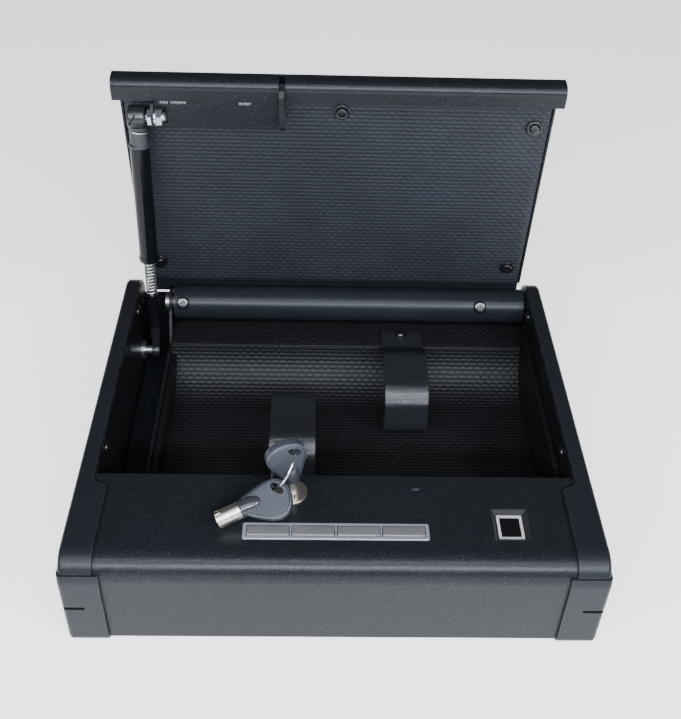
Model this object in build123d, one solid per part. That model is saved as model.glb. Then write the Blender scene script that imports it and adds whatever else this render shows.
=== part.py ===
from build123d import *
import math
import os

# Quick-access gun safe: a low steel box with a drop-in lid, moulded side covers, a keypad and
# fingerprint deck, a tubular override lock, a spring strut and two retaining straps.
# Working frame: x to the right, y back from the front face, z up from the underside.
# On export everything shifts so that the origin is at the centre of the underside.

# Driving dimensions, in millimetres
WIDTH = 292.0
DEPTH = 263.0
HEIGHT = 65.3
SHEET = 1.2                 # steel sheet
COVER = 2.0                 # wall of the moulded side covers
FRONT_ROUND = 15.0          # bend at the front of the deck
REAR_ROUND = 18.0
BOTTOM_ROUND = 5.0
SEAM_Z = 56.6               # seam between upper rail and lower skirt
SEAM_STEP = 0.8             # the skirt stands proud of the rail by this
SEAM_GAP = 0.5              # shadow gap between rail and skirt
RUN_FIT = 0.05              # radial clearance of pins, plugs and ball studs

# Housing
BASE_Z = 1.5                # underside of the base plate, above the covers' edge
FLOOR_Z = BASE_Z + SHEET
WALL_X = 135.0              # inner face of the side walls
WALL_TOP = HEIGHT - COVER - 0.1
BASE_HALF = WALL_X + SHEET
BASE_FRONT_Y = COVER + 1.5
COVER_INNER_X = 124.0       # where the covers end on the front face
RAIL_DECK_X = 127.3         # rail edge beside the deck
RAIL_OPEN_X = 135.5         # rail edge beside the opening
RAIL_STEP_Y = 59.0
DECK_Z = HEIGHT - COVER
DECK_REAR_Y = 68.7
MECH_WALL_Y = 65.0
REAR_WALL_Y = 260.2
DIVIDER_X = -113.2          # compartment face of the divider
DIVIDER_TOP = 30.0
DIVIDER_THICK = 1.8
HINGE_EAR_R = 10.5
CRADLE_Y = 219.0            # upright behind the rear foam
FOAM = 4.0
REAR_FOAM = 3.0
FOAM_SWEEP = 30.0           # radius where the floor foam turns up the back
SIDE_FOAM_TOP = 47.0        # on the right; the left sheet ends at the divider
SHELF_Z = 33.5              # shelf under the barrel
LEDGE_Z = 36.0              # foam on the shelf
LEDGE_REAR_Y = 245.0

# Hinge and lid, drawn closed and then swung open
HINGE_Y = 246.0
HINGE_Z = 50.0
OPEN_ANGLE = 84.0
BARREL_R = 12.1
BARREL_LEFT = -111.5
BARREL_RIGHT = 134.4
PIN_R = 4.0
LID_HALF = 131.3
LIP_HALF = 134.5
LID_TOP = DECK_Z
LINER_Z = HINGE_Z + 6.4     # face of the lid's foam when closed
LIP_Z = HINGE_Z - 0.7       # underside of the front lip when closed
LIP_ROUND, LIP_ROUND_TOP = 5.5, 4.0
LIP_FRONT = HINGE_Y - 175.5
LIP_REAR = HINGE_Y - 162.5

# Strut
STUD_Y = HINGE_Y - 152.3    # upper ball, lid closed
STUD_Z = HINGE_Z - 2.0
STUD_X = -120.5
STUD_THREAD_R = 3.0
NUT_RELIEF_X, NUT_RELIEF_Y = 7.0, 5.8
FOOT_X = -125.0             # lower end of the strut, lid open
FOOT_Y = 226.0
FOOT_Z = 22.0
TUBE_R = 6.0
BALL_R = 4.6
ROD_R = 2.0
ROD_START = 12.0            # distances along the strut count from its foot
NECK_LENGTH, NECK_R, COLLAR_R = 19.0, 5.6, 6.6
TUBE_LENGTH = 83.0
SOCKET_R, SOCKET_LENGTH = 7.1, 11.0
SPRING_R, SPRING_WIRE, SPRING_PITCH = 3.2, 0.55, 2.5
SLEEVE_R, SLEEVE_LENGTH, SLEEVE_BOTTOM = 4.1, 27.0, 22.0
STRUT_EYE_R, STRUT_EYE_WIDTH, EYE_GAP = 5.5, 5.0, 0.6
NUT_FLATS, NUT_LENGTH, THIN_NUT_LENGTH = 9.0, 3.5, 2.6
WASHER_R, WASHER_THICK = 5.6, 0.9

# Deck fittings
KEYPAD_X0, KEYPAD_X1 = -50.3, 50.0
KEYPAD_Y0, KEYPAD_Y1 = 21.0, 32.2
KEY_COUNT = 4
FINGER_X0, FINGER_X1 = 85.0, 105.0
FINGER_Y0, FINGER_Y1 = 21.8, 44.0
LOCK_X, LOCK_Y = -25.0, 54.5
FINGER_DEPTH = 3.4          # sensor ring below the deck
RING_HALF_X, RING_HALF_Y = 7.0, 8.35
FINGER_HALF_X, FINGER_HALF_Y = 5.4, 6.7
LIGHT_X, LIGHT_Y = 44.8, 57.7
LIGHT_HALF_X, LIGHT_HALF_Y = 2.0, 0.9

# Floor bolts and tether cable
BOLT_X = 95.0
BOLT_Y0, BOLT_Y1 = 95.0, 185.0
BOLT_HOLE_R = 3.5
CABLE_HOLE_R = 5.0
CABLE_X, CABLE_Z = 110.0, 15.0

# Cover screws
SCREW_YS = (95.0, 225.0)
SCREW_Z = 56.5
SCREW_R = 1.8

# Lock, yoke and latch
LOCK_FACE_Z = DECK_Z + 1.2
LOCK_BOTTOM_Z = DECK_Z - 22.0
LOCK_R = 7.5
PLUG_R = 6.2
KEY_SEAT_Z = LOCK_FACE_Z - 3.0
CAM_Z0, CAM_Z1 = 33.3, 35.3
YOKE_R = 5.66               # crank radius: a quarter turn moves the bolt by its travel
YOKE_PIN_R = 1.5
BOLT_MID_X, BOLT_HALF, BOLT_PLAY = -34.0, 4.0, 0.4
LATCH_Z0, LATCH_Z1 = 45.5, 51.0
LATCH_NOSE_Y = 69.0
LATCH_TRAVEL = 8.0
STRIKER_X = -34.0
EAR_X = -110.0              # face of the strut ear
BRACKET_THICK = 1.5
BRACKET_REAR = HINGE_Y - 145.0

# Power
BATTERY_X, BATTERY_Y0, BATTERY_Y1 = 20.0, 6.0, 64.7
CELL_R, CELL_LENGTH, CELL_PITCH = 6.7, 50.0, 13.85

# Straps
STRAP_WIDTH = 29.0
STRAP_THICK = 1.6

# Fasteners on the lid: (x, distance from the hinge)
LID_SCREWS = [(1.7, 153.0), (120.3, 144.0), (120.1, 31.0), (-120.2, 31.5)]
BARREL_SCREW_XS = (-105.0, 102.5)
BARREL_SCREW_TILT = -38.0

# Keys
KEY_BARREL_R = 4.75
KEY_BARREL_LENGTH = 13.5
KEY_STEM = 9.0
KEY_NECK_R = 2.5
BOW_THICK = 5.2
RING_HOLE_X, RING_HOLE_Z, RING_HOLE_R = 2.4, 13.0, 3.0
RING_R, RING_WIRE = 13.0, 0.6
UPRIGHT_TURN = 18.0
SPARE_TIP = (-63.6, 30.0, DECK_Z + 4.8)
SPARE_TURN, SPARE_RISE, SPARE_ROLL = 18.0, 18.0, 25.0


# ---------------------------------------------------------------- helpers
def block(x0, x1, y0, y1, z0, z1):
    """Box between two corners."""
    centre = Pos((x0 + x1) / 2, (y0 + y1) / 2, (z0 + z1) / 2)
    return centre * Box(x1 - x0, y1 - y0, z1 - z0)


def bar_x(radius, x0, x1, y, z):
    """Round bar along X."""
    return Pos((x0 + x1) / 2, y, z) * Rot(0, 90, 0) * Cylinder(radius, x1 - x0)


def bar_y(radius, x, y0, y1, z):
    """Round bar along Y."""
    return Pos(x, (y0 + y1) / 2, z) * Rot(90, 0, 0) * Cylinder(radius, y1 - y0)


def bar_z(radius, x, y, z0, z1):
    """Round bar along Z."""
    return Pos(x, y, (z0 + z1) / 2) * Cylinder(radius, z1 - z0)


def across(section, x0, x1):
    """Extrude a section drawn as (y, z) from x0 to x1."""
    return extrude(Plane.YZ.offset(x0) * section, amount=x1 - x0)


def upward(section, z0, z1):
    """Extrude a plan section from z0 to z1."""
    return extrude(Plane.XY.offset(z0) * section, amount=z1 - z0)


def polygon(points):
    """Face inside a closed run of points."""
    return make_face(Polyline(*points, close=True))


def corner_at(section, a, b):
    """The vertex of a section nearest to (a, b)."""
    return min(section.vertices(), key=lambda v: math.hypot(v.X - a, v.Y - b))


def rounded(section, corners):
    """Round the corners of a flat section, given as (a, b, radius)."""
    for a, b, radius in corners:
        section = fillet(corner_at(section, a, b), radius)
    return section


def mirrored(shape):
    """The same shape on the other side of the middle plane."""
    return mirror(shape, about=Plane.YZ)


def hexagon_x(across_flats, x0, x1, y, z):
    """Hexagonal prism along X."""
    section = Pos(y, z) * RegularPolygon(across_flats / 2, 6, major_radius=False)
    return across(section, x0, x1)


def opened(shape):
    """Swing a piece drawn on the closed lid to the open rest position."""
    hinge = Pos(0, HINGE_Y, HINGE_Z)
    return hinge * Rot(-OPEN_ANGLE, 0, 0) * hinge.inverse() * shape


def swung(y, z):
    """Where a point drawn on the closed lid lies at rest."""
    angle = math.radians(-OPEN_ANGLE)
    dy, dz = y - HINGE_Y, z - HINGE_Z
    return (HINGE_Y + dy * math.cos(angle) - dz * math.sin(angle),
            HINGE_Z + dy * math.sin(angle) + dz * math.cos(angle))


# ---------------------------------------------------------------- housing
def cover_section(inset, top):
    """Side outline of the covers, drawn inwards by an inset, up to a top height."""
    y0, y1, z0, z1 = inset, DEPTH - inset, inset, top
    section = polygon([(y0, z0), (y1, z0), (y1, z1), (y0, z1)])
    return rounded(section, [(y0, z1, FRONT_ROUND - inset), (y1, z1, REAR_ROUND - inset)])


def cover_shell(x_end, shrink):
    """Tray-like cover on the right: a side wall with a rim all round it."""
    outline = cover_section(shrink, HEIGHT)
    outline = rounded(outline, [(shrink, shrink, BOTTOM_ROUND), (DEPTH - shrink, shrink, BOTTOM_ROUND)])
    outer = across(outline, COVER_INNER_X, x_end)
    outer = fillet(outer.faces().sort_by(Axis.X)[-1].edges(), 2.5)
    hollow = across(cover_section(COVER, HEIGHT - COVER), 0, x_end - COVER)
    return outer - hollow


def side_rail():
    """Upper cover on the right, wide beside the deck and narrow beside the opening."""
    shell = cover_shell(WIDTH / 2 - SEAM_STEP, SEAM_STEP)
    band = block(COVER_INNER_X, WIDTH, -DEPTH, 2 * DEPTH, SEAM_Z, HEIGHT + COVER)
    half = (RAIL_OPEN_X - RAIL_DECK_X) / 4
    plan = polygon([(RAIL_DECK_X, -COVER), (WIDTH, -COVER), (WIDTH, DEPTH + COVER),
                    (RAIL_OPEN_X, DEPTH + COVER), (RAIL_OPEN_X, RAIL_STEP_Y + half),
                    (RAIL_DECK_X, RAIL_STEP_Y - half)])
    plan = rounded(plan, [(RAIL_OPEN_X, RAIL_STEP_Y + half, 4.0),
                          (RAIL_DECK_X, RAIL_STEP_Y - half, 4.0)])
    return (shell & band) & upward(plan, 0, HEIGHT + COVER)


def side_skirt():
    """Lower cover on the right, with a grip slot round its front corner."""
    slot_z, slot_height, slot_run = 29.0, 2.4, 12.0
    shell = cover_shell(WIDTH / 2, 0)
    band = block(0, WIDTH, -DEPTH, 2 * DEPTH, -HEIGHT, SEAM_Z - SEAM_GAP)
    slot = block(WIDTH / 2 - slot_run, WIDTH, -COVER, COVER + 2, slot_z, slot_z + slot_height)
    open_rear = block(0, RAIL_OPEN_X, DEPTH / 2, 2 * DEPTH, FLOOR_Z - 0.05, HEIGHT)
    open_floor = block(0, BASE_HALF + 0.1, BASE_FRONT_Y - 0.1, DEPTH - COVER, -HEIGHT, BASE_Z + COVER)
    return (shell & band) - slot - open_rear - open_floor


def base_plate():
    """Flat base with four floor bolt holes."""
    plate = block(-BASE_HALF, BASE_HALF, BASE_FRONT_Y, DEPTH - COVER - 0.1, BASE_Z, FLOOR_Z)
    for x in (-BOLT_X, BOLT_X):
        for y in (BOLT_Y0, BOLT_Y1):
            plate -= bar_z(BOLT_HOLE_R, x, y, 0, HEIGHT)
    return plate


def side_wall():
    """Right inner wall, from the base to just under the rail, with the hinge pin hole."""
    wall = block(WALL_X, WALL_X + SHEET, COVER + 2, REAR_WALL_Y, FLOOR_Z, WALL_TOP)
    trim = across(cover_section(COVER + 0.2, HEIGHT - COVER - 0.1), 0, WIDTH)
    wall = (wall & trim) - bar_x(PIN_R + RUN_FIT, 0, WIDTH, HINGE_Y, HINGE_Z)
    for y in SCREW_YS:
        wall -= bar_x(SCREW_R + 0.1, 0, WIDTH, y, SCREW_Z)
    return wall


def rear_wall():
    """Back of the box, below the barrel, with the tether cable hole."""
    half = RAIL_OPEN_X - 0.2
    wall = block(-half, half, REAR_WALL_Y, REAR_WALL_Y + SHEET, FLOOR_Z, 47.0)
    return wall - bar_y(CABLE_HOLE_R, CABLE_X, DEPTH / 2, 2 * DEPTH, CABLE_Z)


def rear_cradle():
    """Upright behind the rear foam and the shelf under the barrel."""
    upright = block(DIVIDER_X, WALL_X, CRADLE_Y, CRADLE_Y + SHEET, FLOOR_Z, SHELF_Z)
    shelf = block(DIVIDER_X, WALL_X, CRADLE_Y, REAR_WALL_Y, SHELF_Z - SHEET, SHELF_Z)
    return upright + shelf


def divider():
    """Plate between the compartment and the strut channel; its rear end is the hinge ear."""
    left, ear_foot = DIVIDER_X - DIVIDER_THICK, HINGE_Y - 22.0
    section = polygon([(MECH_WALL_Y + SHEET, FLOOR_Z), (REAR_WALL_Y, FLOOR_Z), (REAR_WALL_Y, DIVIDER_TOP),
                       (HINGE_Y + HINGE_EAR_R, HINGE_Z), (HINGE_Y - HINGE_EAR_R, HINGE_Z),
                       (ear_foot, DIVIDER_TOP), (MECH_WALL_Y + SHEET, DIVIDER_TOP)])
    plate = across(section, left, DIVIDER_X) + bar_x(HINGE_EAR_R, left, DIVIDER_X, HINGE_Y, HINGE_Z)
    return plate - bar_x(PIN_R + RUN_FIT, -WIDTH, 0, HINGE_Y, HINGE_Z)


def mechanism_wall():
    """Front wall of the compartment, with the window for the latch bolt."""
    wall_top = DECK_Z - SHEET - 4.2
    wall = block(-WALL_X, WALL_X, MECH_WALL_Y, MECH_WALL_Y + SHEET, FLOOR_Z, wall_top)
    x0, x1 = BOLT_MID_X - BOLT_HALF - BOLT_PLAY, BOLT_MID_X + BOLT_HALF + BOLT_PLAY
    return wall - block(x0, x1, 0, DEPTH, LATCH_Z0 - BOLT_PLAY, LATCH_Z1 + BOLT_PLAY)


def front_panel():
    """Front face, bend and deck of one bent sheet, with its cut-outs."""
    half_x, rim, under = WALL_X - 0.2, 1.0, DECK_Z / 2
    outer_r = FRONT_ROUND - COVER
    outer = polygon([(COVER, BASE_Z + SHEET), (DECK_REAR_Y, BASE_Z + SHEET),
                     (DECK_REAR_Y, DECK_Z), (COVER, DECK_Z)])
    inner = polygon([(COVER + SHEET, BASE_Z - 5), (DECK_REAR_Y - SHEET, BASE_Z - 5),
                     (DECK_REAR_Y - SHEET, DECK_Z - SHEET), (COVER + SHEET, DECK_Z - SHEET)])
    outer = rounded(outer, [(COVER, DECK_Z, outer_r), (DECK_REAR_Y, DECK_Z, 1.6)])
    inner = rounded(inner, [(COVER + SHEET, DECK_Z - SHEET, outer_r - SHEET)])
    panel = across(outer - inner, -half_x, half_x)
    panel -= block(-WIDTH, WIDTH, DECK_REAR_Y - 2 * SHEET, DEPTH, -HEIGHT, DECK_Z - 4.0)
    panel -= block(KEYPAD_X0 + rim, KEYPAD_X1 - rim, KEYPAD_Y0 + rim, KEYPAD_Y1 - rim, under, HEIGHT)
    panel -= block(FINGER_X0, FINGER_X1, FINGER_Y0, FINGER_Y1, under, HEIGHT)
    panel -= bar_z(LOCK_R + 0.1, LOCK_X, LOCK_Y, under, HEIGHT)
    return panel - block(LIGHT_X - LIGHT_HALF_X, LIGHT_X + LIGHT_HALF_X,
                         LIGHT_Y - LIGHT_HALF_Y, LIGHT_Y + LIGHT_HALF_Y, under, HEIGHT)


def floor_liner():
    """Foam floor that sweeps up the back and over the shelf in one piece."""
    front, rear, face = MECH_WALL_Y + SHEET, CRADLE_Y, CRADLE_Y - REAR_FOAM
    floor_top, sweep = FLOOR_Z + FOAM, FOAM_SWEEP
    section = polygon([(front, FLOOR_Z), (rear, FLOOR_Z), (rear, SHELF_Z), (LEDGE_REAR_Y, SHELF_Z),
                       (LEDGE_REAR_Y, LEDGE_Z), (face, LEDGE_Z), (face, floor_top), (front, floor_top)])
    corner = polygon([(face, floor_top), (face, floor_top + sweep), (face - sweep, floor_top)])
    round_cut = Pos(face - sweep, floor_top + sweep) * Circle(sweep)
    return across(section + (corner - round_cut), DIVIDER_X, WALL_X)


def side_liner(x0, x1):
    """Foam sheet on one side of the compartment."""
    front, rear, sweep = MECH_WALL_Y + SHEET, CRADLE_Y - REAR_FOAM, FOAM_SWEEP
    top = DIVIDER_TOP - 2 if x0 < 0 else SIDE_FOAM_TOP
    sheet = block(x0, x1, front, rear, FLOOR_Z + FOAM, top)
    axis_y, axis_z = rear - sweep, FLOOR_Z + FOAM + sweep
    corner = block(x0, x1, axis_y, rear, FLOOR_Z + FOAM, axis_z)
    return sheet - (corner - bar_x(sweep, x0, x1, axis_y, axis_z))


def cover_screws():
    """Four pan-head screws that hold the covers to the walls, seen inside the opening."""
    head_r, head_height, recess_r = 4.2, 2.0, 1.6
    screws = []
    for y in SCREW_YS:
        head = bar_x(head_r, WALL_X - head_height, WALL_X, y, SCREW_Z)
        head = fillet(head.faces().sort_by(Axis.X)[0].edges(), 0.9)
        head -= bar_x(recess_r, 0, WALL_X - head_height / 2, y, SCREW_Z)
        screw = head + bar_x(SCREW_R, WALL_X, WALL_X + SHEET + 5, y, SCREW_Z)
        screws += [screw, mirrored(screw)]
    return Compound(children=screws)


# ---------------------------------------------------------------- deck fittings
def keypad_frame():
    """Satin bezel round the four keys, standing just proud of the deck."""
    x0, x1, y0, y1 = KEYPAD_X0, KEYPAD_X1, KEYPAD_Y0, KEYPAD_Y1
    flange = block(x0, x1, y0, y1, DECK_Z, DECK_Z + 0.8)
    flange = fillet(flange.edges().filter_by(Axis.Z), 1.2)
    flange = chamfer(flange.faces().sort_by(Axis.Z)[-1].edges(), 0.3)
    body = block(x0 + 1.2, x1 - 1.2, y0 + 1.2, y1 - 1.2, DECK_Z - 5, DECK_Z)
    frame = flange + body
    for index in range(KEY_COUNT):
        a, b = key_span(index)
        frame -= block(a - 0.3, b + 0.3, y0 + 1.6, y1 - 1.6, DECK_Z / 2, HEIGHT)
    return frame


def key_span(index):
    """Left and right edges of one key."""
    pitch = (KEYPAD_X1 - KEYPAD_X0 - 3.0) / KEY_COUNT
    left = KEYPAD_X0 + 1.5 + index * pitch
    return left + 0.75, left + pitch - 0.75


def key_button(index):
    """One long key with a softly rounded top and a stem flange below."""
    a, b = key_span(index)
    y0, y1 = KEYPAD_Y0 + 1.9, KEYPAD_Y1 - 1.9
    cap = block(a, b, y0, y1, DECK_Z - 4.0, DECK_Z + 1.6)
    return fillet(cap.faces().sort_by(Axis.Z)[-1].edges(), 0.8)


def control_board():
    """Circuit board under the deck with the key domes and a controller."""
    board = block(-60, 78, 16, 44, DECK_Z - 9.4, DECK_Z - 7.8)
    for index in range(KEY_COUNT):
        a, b = key_span(index)
        board += bar_z(3.0, (a + b) / 2, (KEYPAD_Y0 + KEYPAD_Y1) / 2, DECK_Z - 7.8, DECK_Z - 5.4)
    return board + block(58, 72, 24, 38, DECK_Z - 7.8, DECK_Z - 5.8)


def fingerprint_bezel():
    """Black recess with sloping walls round the sensor."""
    cx, cy = (FINGER_X0 + FINGER_X1) / 2, (FINGER_Y0 + FINGER_Y1) / 2
    width, length = FINGER_X1 - FINGER_X0 - 0.2, FINGER_Y1 - FINGER_Y0 - 0.2
    floor_z = DECK_Z - FINGER_DEPTH
    body = block(cx - width / 2, cx + width / 2, cy - length / 2, cy + length / 2, floor_z - 2, DECK_Z)
    mouth = Plane.XY.offset(DECK_Z) * (Pos(cx, cy) * Rectangle(width - 1.0, length - 1.0))
    seat = Plane.XY.offset(floor_z) * (Pos(cx, cy) * Rectangle(14.6, 17.3))
    body -= loft([seat, mouth])
    half_x, half_y = FINGER_HALF_X + 0.2, FINGER_HALF_Y + 0.2
    return body - block(cx - half_x, cx + half_x, cy - half_y, cy + half_y, 0, DECK_Z)


def fingerprint_frame():
    """Bright rectangular ring round the sensor."""
    cx, cy = (FINGER_X0 + FINGER_X1) / 2, (FINGER_Y0 + FINGER_Y1) / 2
    z0 = DECK_Z - FINGER_DEPTH
    ring = block(cx - RING_HALF_X, cx + RING_HALF_X, cy - RING_HALF_Y, cy + RING_HALF_Y, z0, z0 + 1.0)
    ring = fillet(ring.edges().filter_by(Axis.Z), 0.8)
    half_x, half_y = FINGER_HALF_X + 0.1, FINGER_HALF_Y + 0.1
    return ring - block(cx - half_x, cx + half_x, cy - half_y, cy + half_y, 0, HEIGHT)


def fingerprint_sensor():
    """Sensor module with its black glass face."""
    cx, cy = (FINGER_X0 + FINGER_X1) / 2, (FINGER_Y0 + FINGER_Y1) / 2
    z0, module = DECK_Z - 8.4, 9.0
    face = block(cx - FINGER_HALF_X, cx + FINGER_HALF_X, cy - FINGER_HALF_Y, cy + FINGER_HALF_Y,
                 z0, DECK_Z - 2.7)
    return face + block(cx - module, cx + module, cy - module, cy + module, z0, DECK_Z - 5.5)


def status_lens():
    """Small light pipe in the slot beside the lock."""
    half_x, half_y = LIGHT_HALF_X - 0.1, LIGHT_HALF_Y - 0.1
    lens = block(LIGHT_X - half_x, LIGHT_X + half_x, LIGHT_Y - half_y, LIGHT_Y + half_y,
                 DECK_Z - 3, DECK_Z - 0.3)
    foot_x, foot_y = 3.5, 2.5
    return lens + block(LIGHT_X - foot_x, LIGHT_X + foot_x, LIGHT_Y - foot_y, LIGHT_Y + foot_y,
                        DECK_Z - 4.2, DECK_Z - SHEET)


def lock_body():
    """Lock barrel with its polished face flange."""
    face = bar_z(9.2, LOCK_X, LOCK_Y, DECK_Z, LOCK_FACE_Z)
    face = fillet(face.edges().sort_by(Axis.Z)[-1], 0.5)
    body = face + bar_z(LOCK_R, LOCK_X, LOCK_Y, LOCK_BOTTOM_Z, DECK_Z)
    return body - bar_z(PLUG_R + RUN_FIT, LOCK_X, LOCK_Y, 0, HEIGHT + 10)


def lock_nut():
    """Hexagonal nut that clamps the lock under the deck."""
    section = Pos(LOCK_X, LOCK_Y) * RegularPolygon(10.0, 6, major_radius=False)
    return upward(section, DECK_Z - SHEET - 4, DECK_Z - SHEET) - bar_z(LOCK_R, LOCK_X, LOCK_Y, 0, HEIGHT)


def lock_plug():
    """Turning plug with the ring-shaped keyway and its centre post."""
    plug = bar_z(PLUG_R, LOCK_X, LOCK_Y, CAM_Z1, LOCK_FACE_Z - 0.4)
    groove = bar_z(KEY_BARREL_R + 0.05, LOCK_X, LOCK_Y, KEY_SEAT_Z, HEIGHT + 10)
    post = bar_z(3.3, LOCK_X, LOCK_Y, KEY_SEAT_Z, LOCK_FACE_Z - 0.8)
    return plug - groove + post


def lock_cam():
    """Crank disc under the plug, with the pin that drives the bolt's yoke."""
    disc = bar_z(8.5, LOCK_X, LOCK_Y, CAM_Z0, CAM_Z1)
    offset_xy = YOKE_R * math.sqrt(0.5)
    return disc + bar_z(YOKE_PIN_R, LOCK_X - offset_xy, LOCK_Y - offset_xy, CAM_Z0 - 4, CAM_Z0)


def latch_bolt():
    """Sliding bolt with a bevelled nose, and a yoke plate under the crank."""
    x0, x1, tail_y = BOLT_MID_X - BOLT_HALF, BOLT_MID_X + BOLT_HALF, 40.0
    riser_x = BOLT_MID_X - 1.6
    bevel = polygon([(LATCH_NOSE_Y - 3, LATCH_Z1), (LATCH_NOSE_Y, LATCH_Z1), (LATCH_NOSE_Y, LATCH_Z1 - 3)])
    bar = block(x0, x1, tail_y, LATCH_NOSE_Y, LATCH_Z0, LATCH_Z1) - across(bevel, x0, x1)
    bar -= block(riser_x, x1, tail_y - 1, LOCK_Y + LOCK_R + 0.5, 0, HEIGHT)
    yoke_z0, yoke_z1 = CAM_Z0 - 3.2, CAM_Z0 - 1.0
    riser = block(x0, riser_x, tail_y, tail_y + 5, yoke_z0, LATCH_Z1)
    slot_y = LOCK_Y - YOKE_R * math.sqrt(0.5)
    plate = block(x0, LOCK_X, tail_y, slot_y + 5, yoke_z0, yoke_z1)
    slot = block(LOCK_X - YOKE_R - 2.2, LOCK_X - 2.0, slot_y - YOKE_PIN_R - 0.3,
                 slot_y + YOKE_PIN_R + 0.3, 0, HEIGHT)
    return bar + riser + (plate - slot)


def latch_guide():
    """Bracket that the bolt runs in, fixed to the mechanism wall."""
    x0, x1, front_y = BOLT_MID_X - 7, BOLT_MID_X - BOLT_HALF - BOLT_PLAY, 55.0
    arm_x, z0, z1 = BOLT_MID_X - 1, LATCH_Z0 - BOLT_PLAY, LATCH_Z1 + BOLT_PLAY
    side = block(x0, x1, front_y, MECH_WALL_Y, z0 - SHEET, z1 + SHEET)
    lower = block(x0, arm_x, front_y, MECH_WALL_Y, z0 - SHEET, z0)
    upper = block(x0, arm_x, front_y, MECH_WALL_Y, z1, z1 + SHEET)
    return side + lower + upper - bar_z(LOCK_R + 0.5, LOCK_X, LOCK_Y, 0, HEIGHT)


def latch_motor():
    """Small geared motor that draws the bolt back."""
    x, z, half = BOLT_MID_X - 22, LATCH_Z0 - 18, 8.0
    front_y, body_end, gear_end, shaft_end = 14.0, 40.0, 54.0, 60.0
    body = bar_y(7.5, x, front_y, body_end, z)
    gearbox = block(x - half, x + half, body_end, gear_end, z - half, z + half)
    return body + gearbox + bar_y(1.5, x, gear_end, shaft_end, z)


def battery_box():
    """Open tray for four cells, fixed to the base under the deck."""
    x1, wall = BATTERY_X + CELL_LENGTH + 6, 1.6
    tray = block(BATTERY_X, x1, BATTERY_Y0, BATTERY_Y1, FLOOR_Z, FLOOR_Z + 14)
    return tray - block(BATTERY_X + wall, x1 - wall, BATTERY_Y0 + wall, BATTERY_Y1 - wall,
                        FLOOR_Z + wall, HEIGHT)


def batteries():
    """Four round cells side by side."""
    cells = []
    x0, z = BATTERY_X + 2.4, FLOOR_Z + 1.7 + CELL_R
    for index in range(4):
        y = BATTERY_Y0 + 8.5 + index * CELL_PITCH
        nub = bar_x(2.6, x0 + CELL_LENGTH, x0 + CELL_LENGTH + 1, y, z)
        cells.append(bar_x(CELL_R, x0, x0 + CELL_LENGTH, y, z) + nub)
    return Compound(children=cells)


# ---------------------------------------------------------------- straps
def ribbon(points, radii, x_mid):
    """Flat band of constant thickness along a rounded route given in (y, z)."""
    route = FilletPolyline(*[(x_mid, y, z) for y, z in points], radius=radii)
    start = Plane(origin=route @ 0, x_dir=(1, 0, 0), z_dir=route % 0)
    return sweep(start * Rectangle(STRAP_WIDTH, STRAP_THICK), path=route)


def strap_right():
    """Band from the rear ledge that bulges forward and comes down to the floor."""
    rest = FLOOR_Z + FOAM + STRAP_THICK / 2
    ledge = LEDGE_Z + STRAP_THICK / 2
    points = [(233.0, ledge), (213.0, ledge), (195.0, 46.5), (160.0, 43.0), (153.0, rest), (176.0, rest)]
    return ribbon(points, [10.0, 14.0, 17.0, 11.0], 48.0)


def strap_left():
    """Band that arches up from the floor in the middle of the compartment."""
    rest = FLOOR_Z + FOAM + 0.5
    points = [(176.0, rest), (163.0, 42.0), (116.0, 42.0), (101.0, rest)]
    return ribbon(points, [15.0, 15.0], -26.0)


# ---------------------------------------------------------------- lid, drawn closed
def lid_panel():
    """Lid skin with shallow side flanges."""
    skin = block(-LID_HALF, LID_HALF, LIP_REAR, HINGE_Y, LID_TOP - SHEET, LID_TOP)
    for side in (-1, 1):
        inner, outer = sorted((side * (LID_HALF - SHEET), side * LID_HALF))
        skin += block(inner, outer, LIP_REAR + 2, HINGE_Y - 16, LINER_Z + 0.4, LID_TOP - SHEET)
    return skin


def lid_lip():
    """Bull-nosed channel along the front of the lid, slit for the striker."""
    y0, y1, z0, z1 = LIP_FRONT, LIP_REAR, LIP_Z, LID_TOP
    outer = rounded(polygon([(y0, z0), (y1, z0), (y1, z1), (y0, z1)]),
                    [(y0, z1, LIP_ROUND_TOP), (y0, z0, LIP_ROUND)])
    inner = polygon([(y0 + SHEET, z0 + SHEET), (y1 + 9, z0 + SHEET), (y1 + 9, z1 - SHEET),
                     (y0 + SHEET, z1 - SHEET)])
    inner = rounded(inner, [(y0 + SHEET, z1 - SHEET, LIP_ROUND_TOP - SHEET),
                            (y0 + SHEET, z0 + SHEET, LIP_ROUND - SHEET)])
    lip = across(outer - inner, -LIP_HALF, LIP_HALF)
    slit_half, slit_top = 2.0, z1 - 4.0
    return lip - block(STRIKER_X - slit_half, STRIKER_X + slit_half, 0, DEPTH, 0, slit_top)


def lid_liner():
    """Embossed foam sheet that fills the underside of the lid."""
    half = LID_HALF - SHEET
    return block(-half, half, LIP_REAR + 2, HINGE_Y - 14, LINER_Z, LID_TOP - SHEET)


def lid_screws():
    """Pan-head screws in the lid's foam."""
    screws = []
    for x, reach in LID_SCREWS:
        y = HINGE_Y - reach
        head = bar_z(3.2, x, y, LINER_Z - 2.2, LINER_Z - 1.0)
        head = fillet(head.edges().sort_by(Axis.Z)[0], 0.6)
        screws.append(head - block(x - 2.2, x + 2.2, y - 0.4, y + 0.4, 0, LINER_Z - 1.7))
    return Compound(children=screws)


def lid_washers():
    """Cup washers under the lid screws."""
    washers = []
    for x, reach in LID_SCREWS:
        cup = bar_z(5.2, x, HINGE_Y - reach, LINER_Z - 1.0, LINER_Z)
        washers.append(fillet(cup.edges().sort_by(Axis.Z)[0], 0.6))
    return Compound(children=washers)


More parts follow.
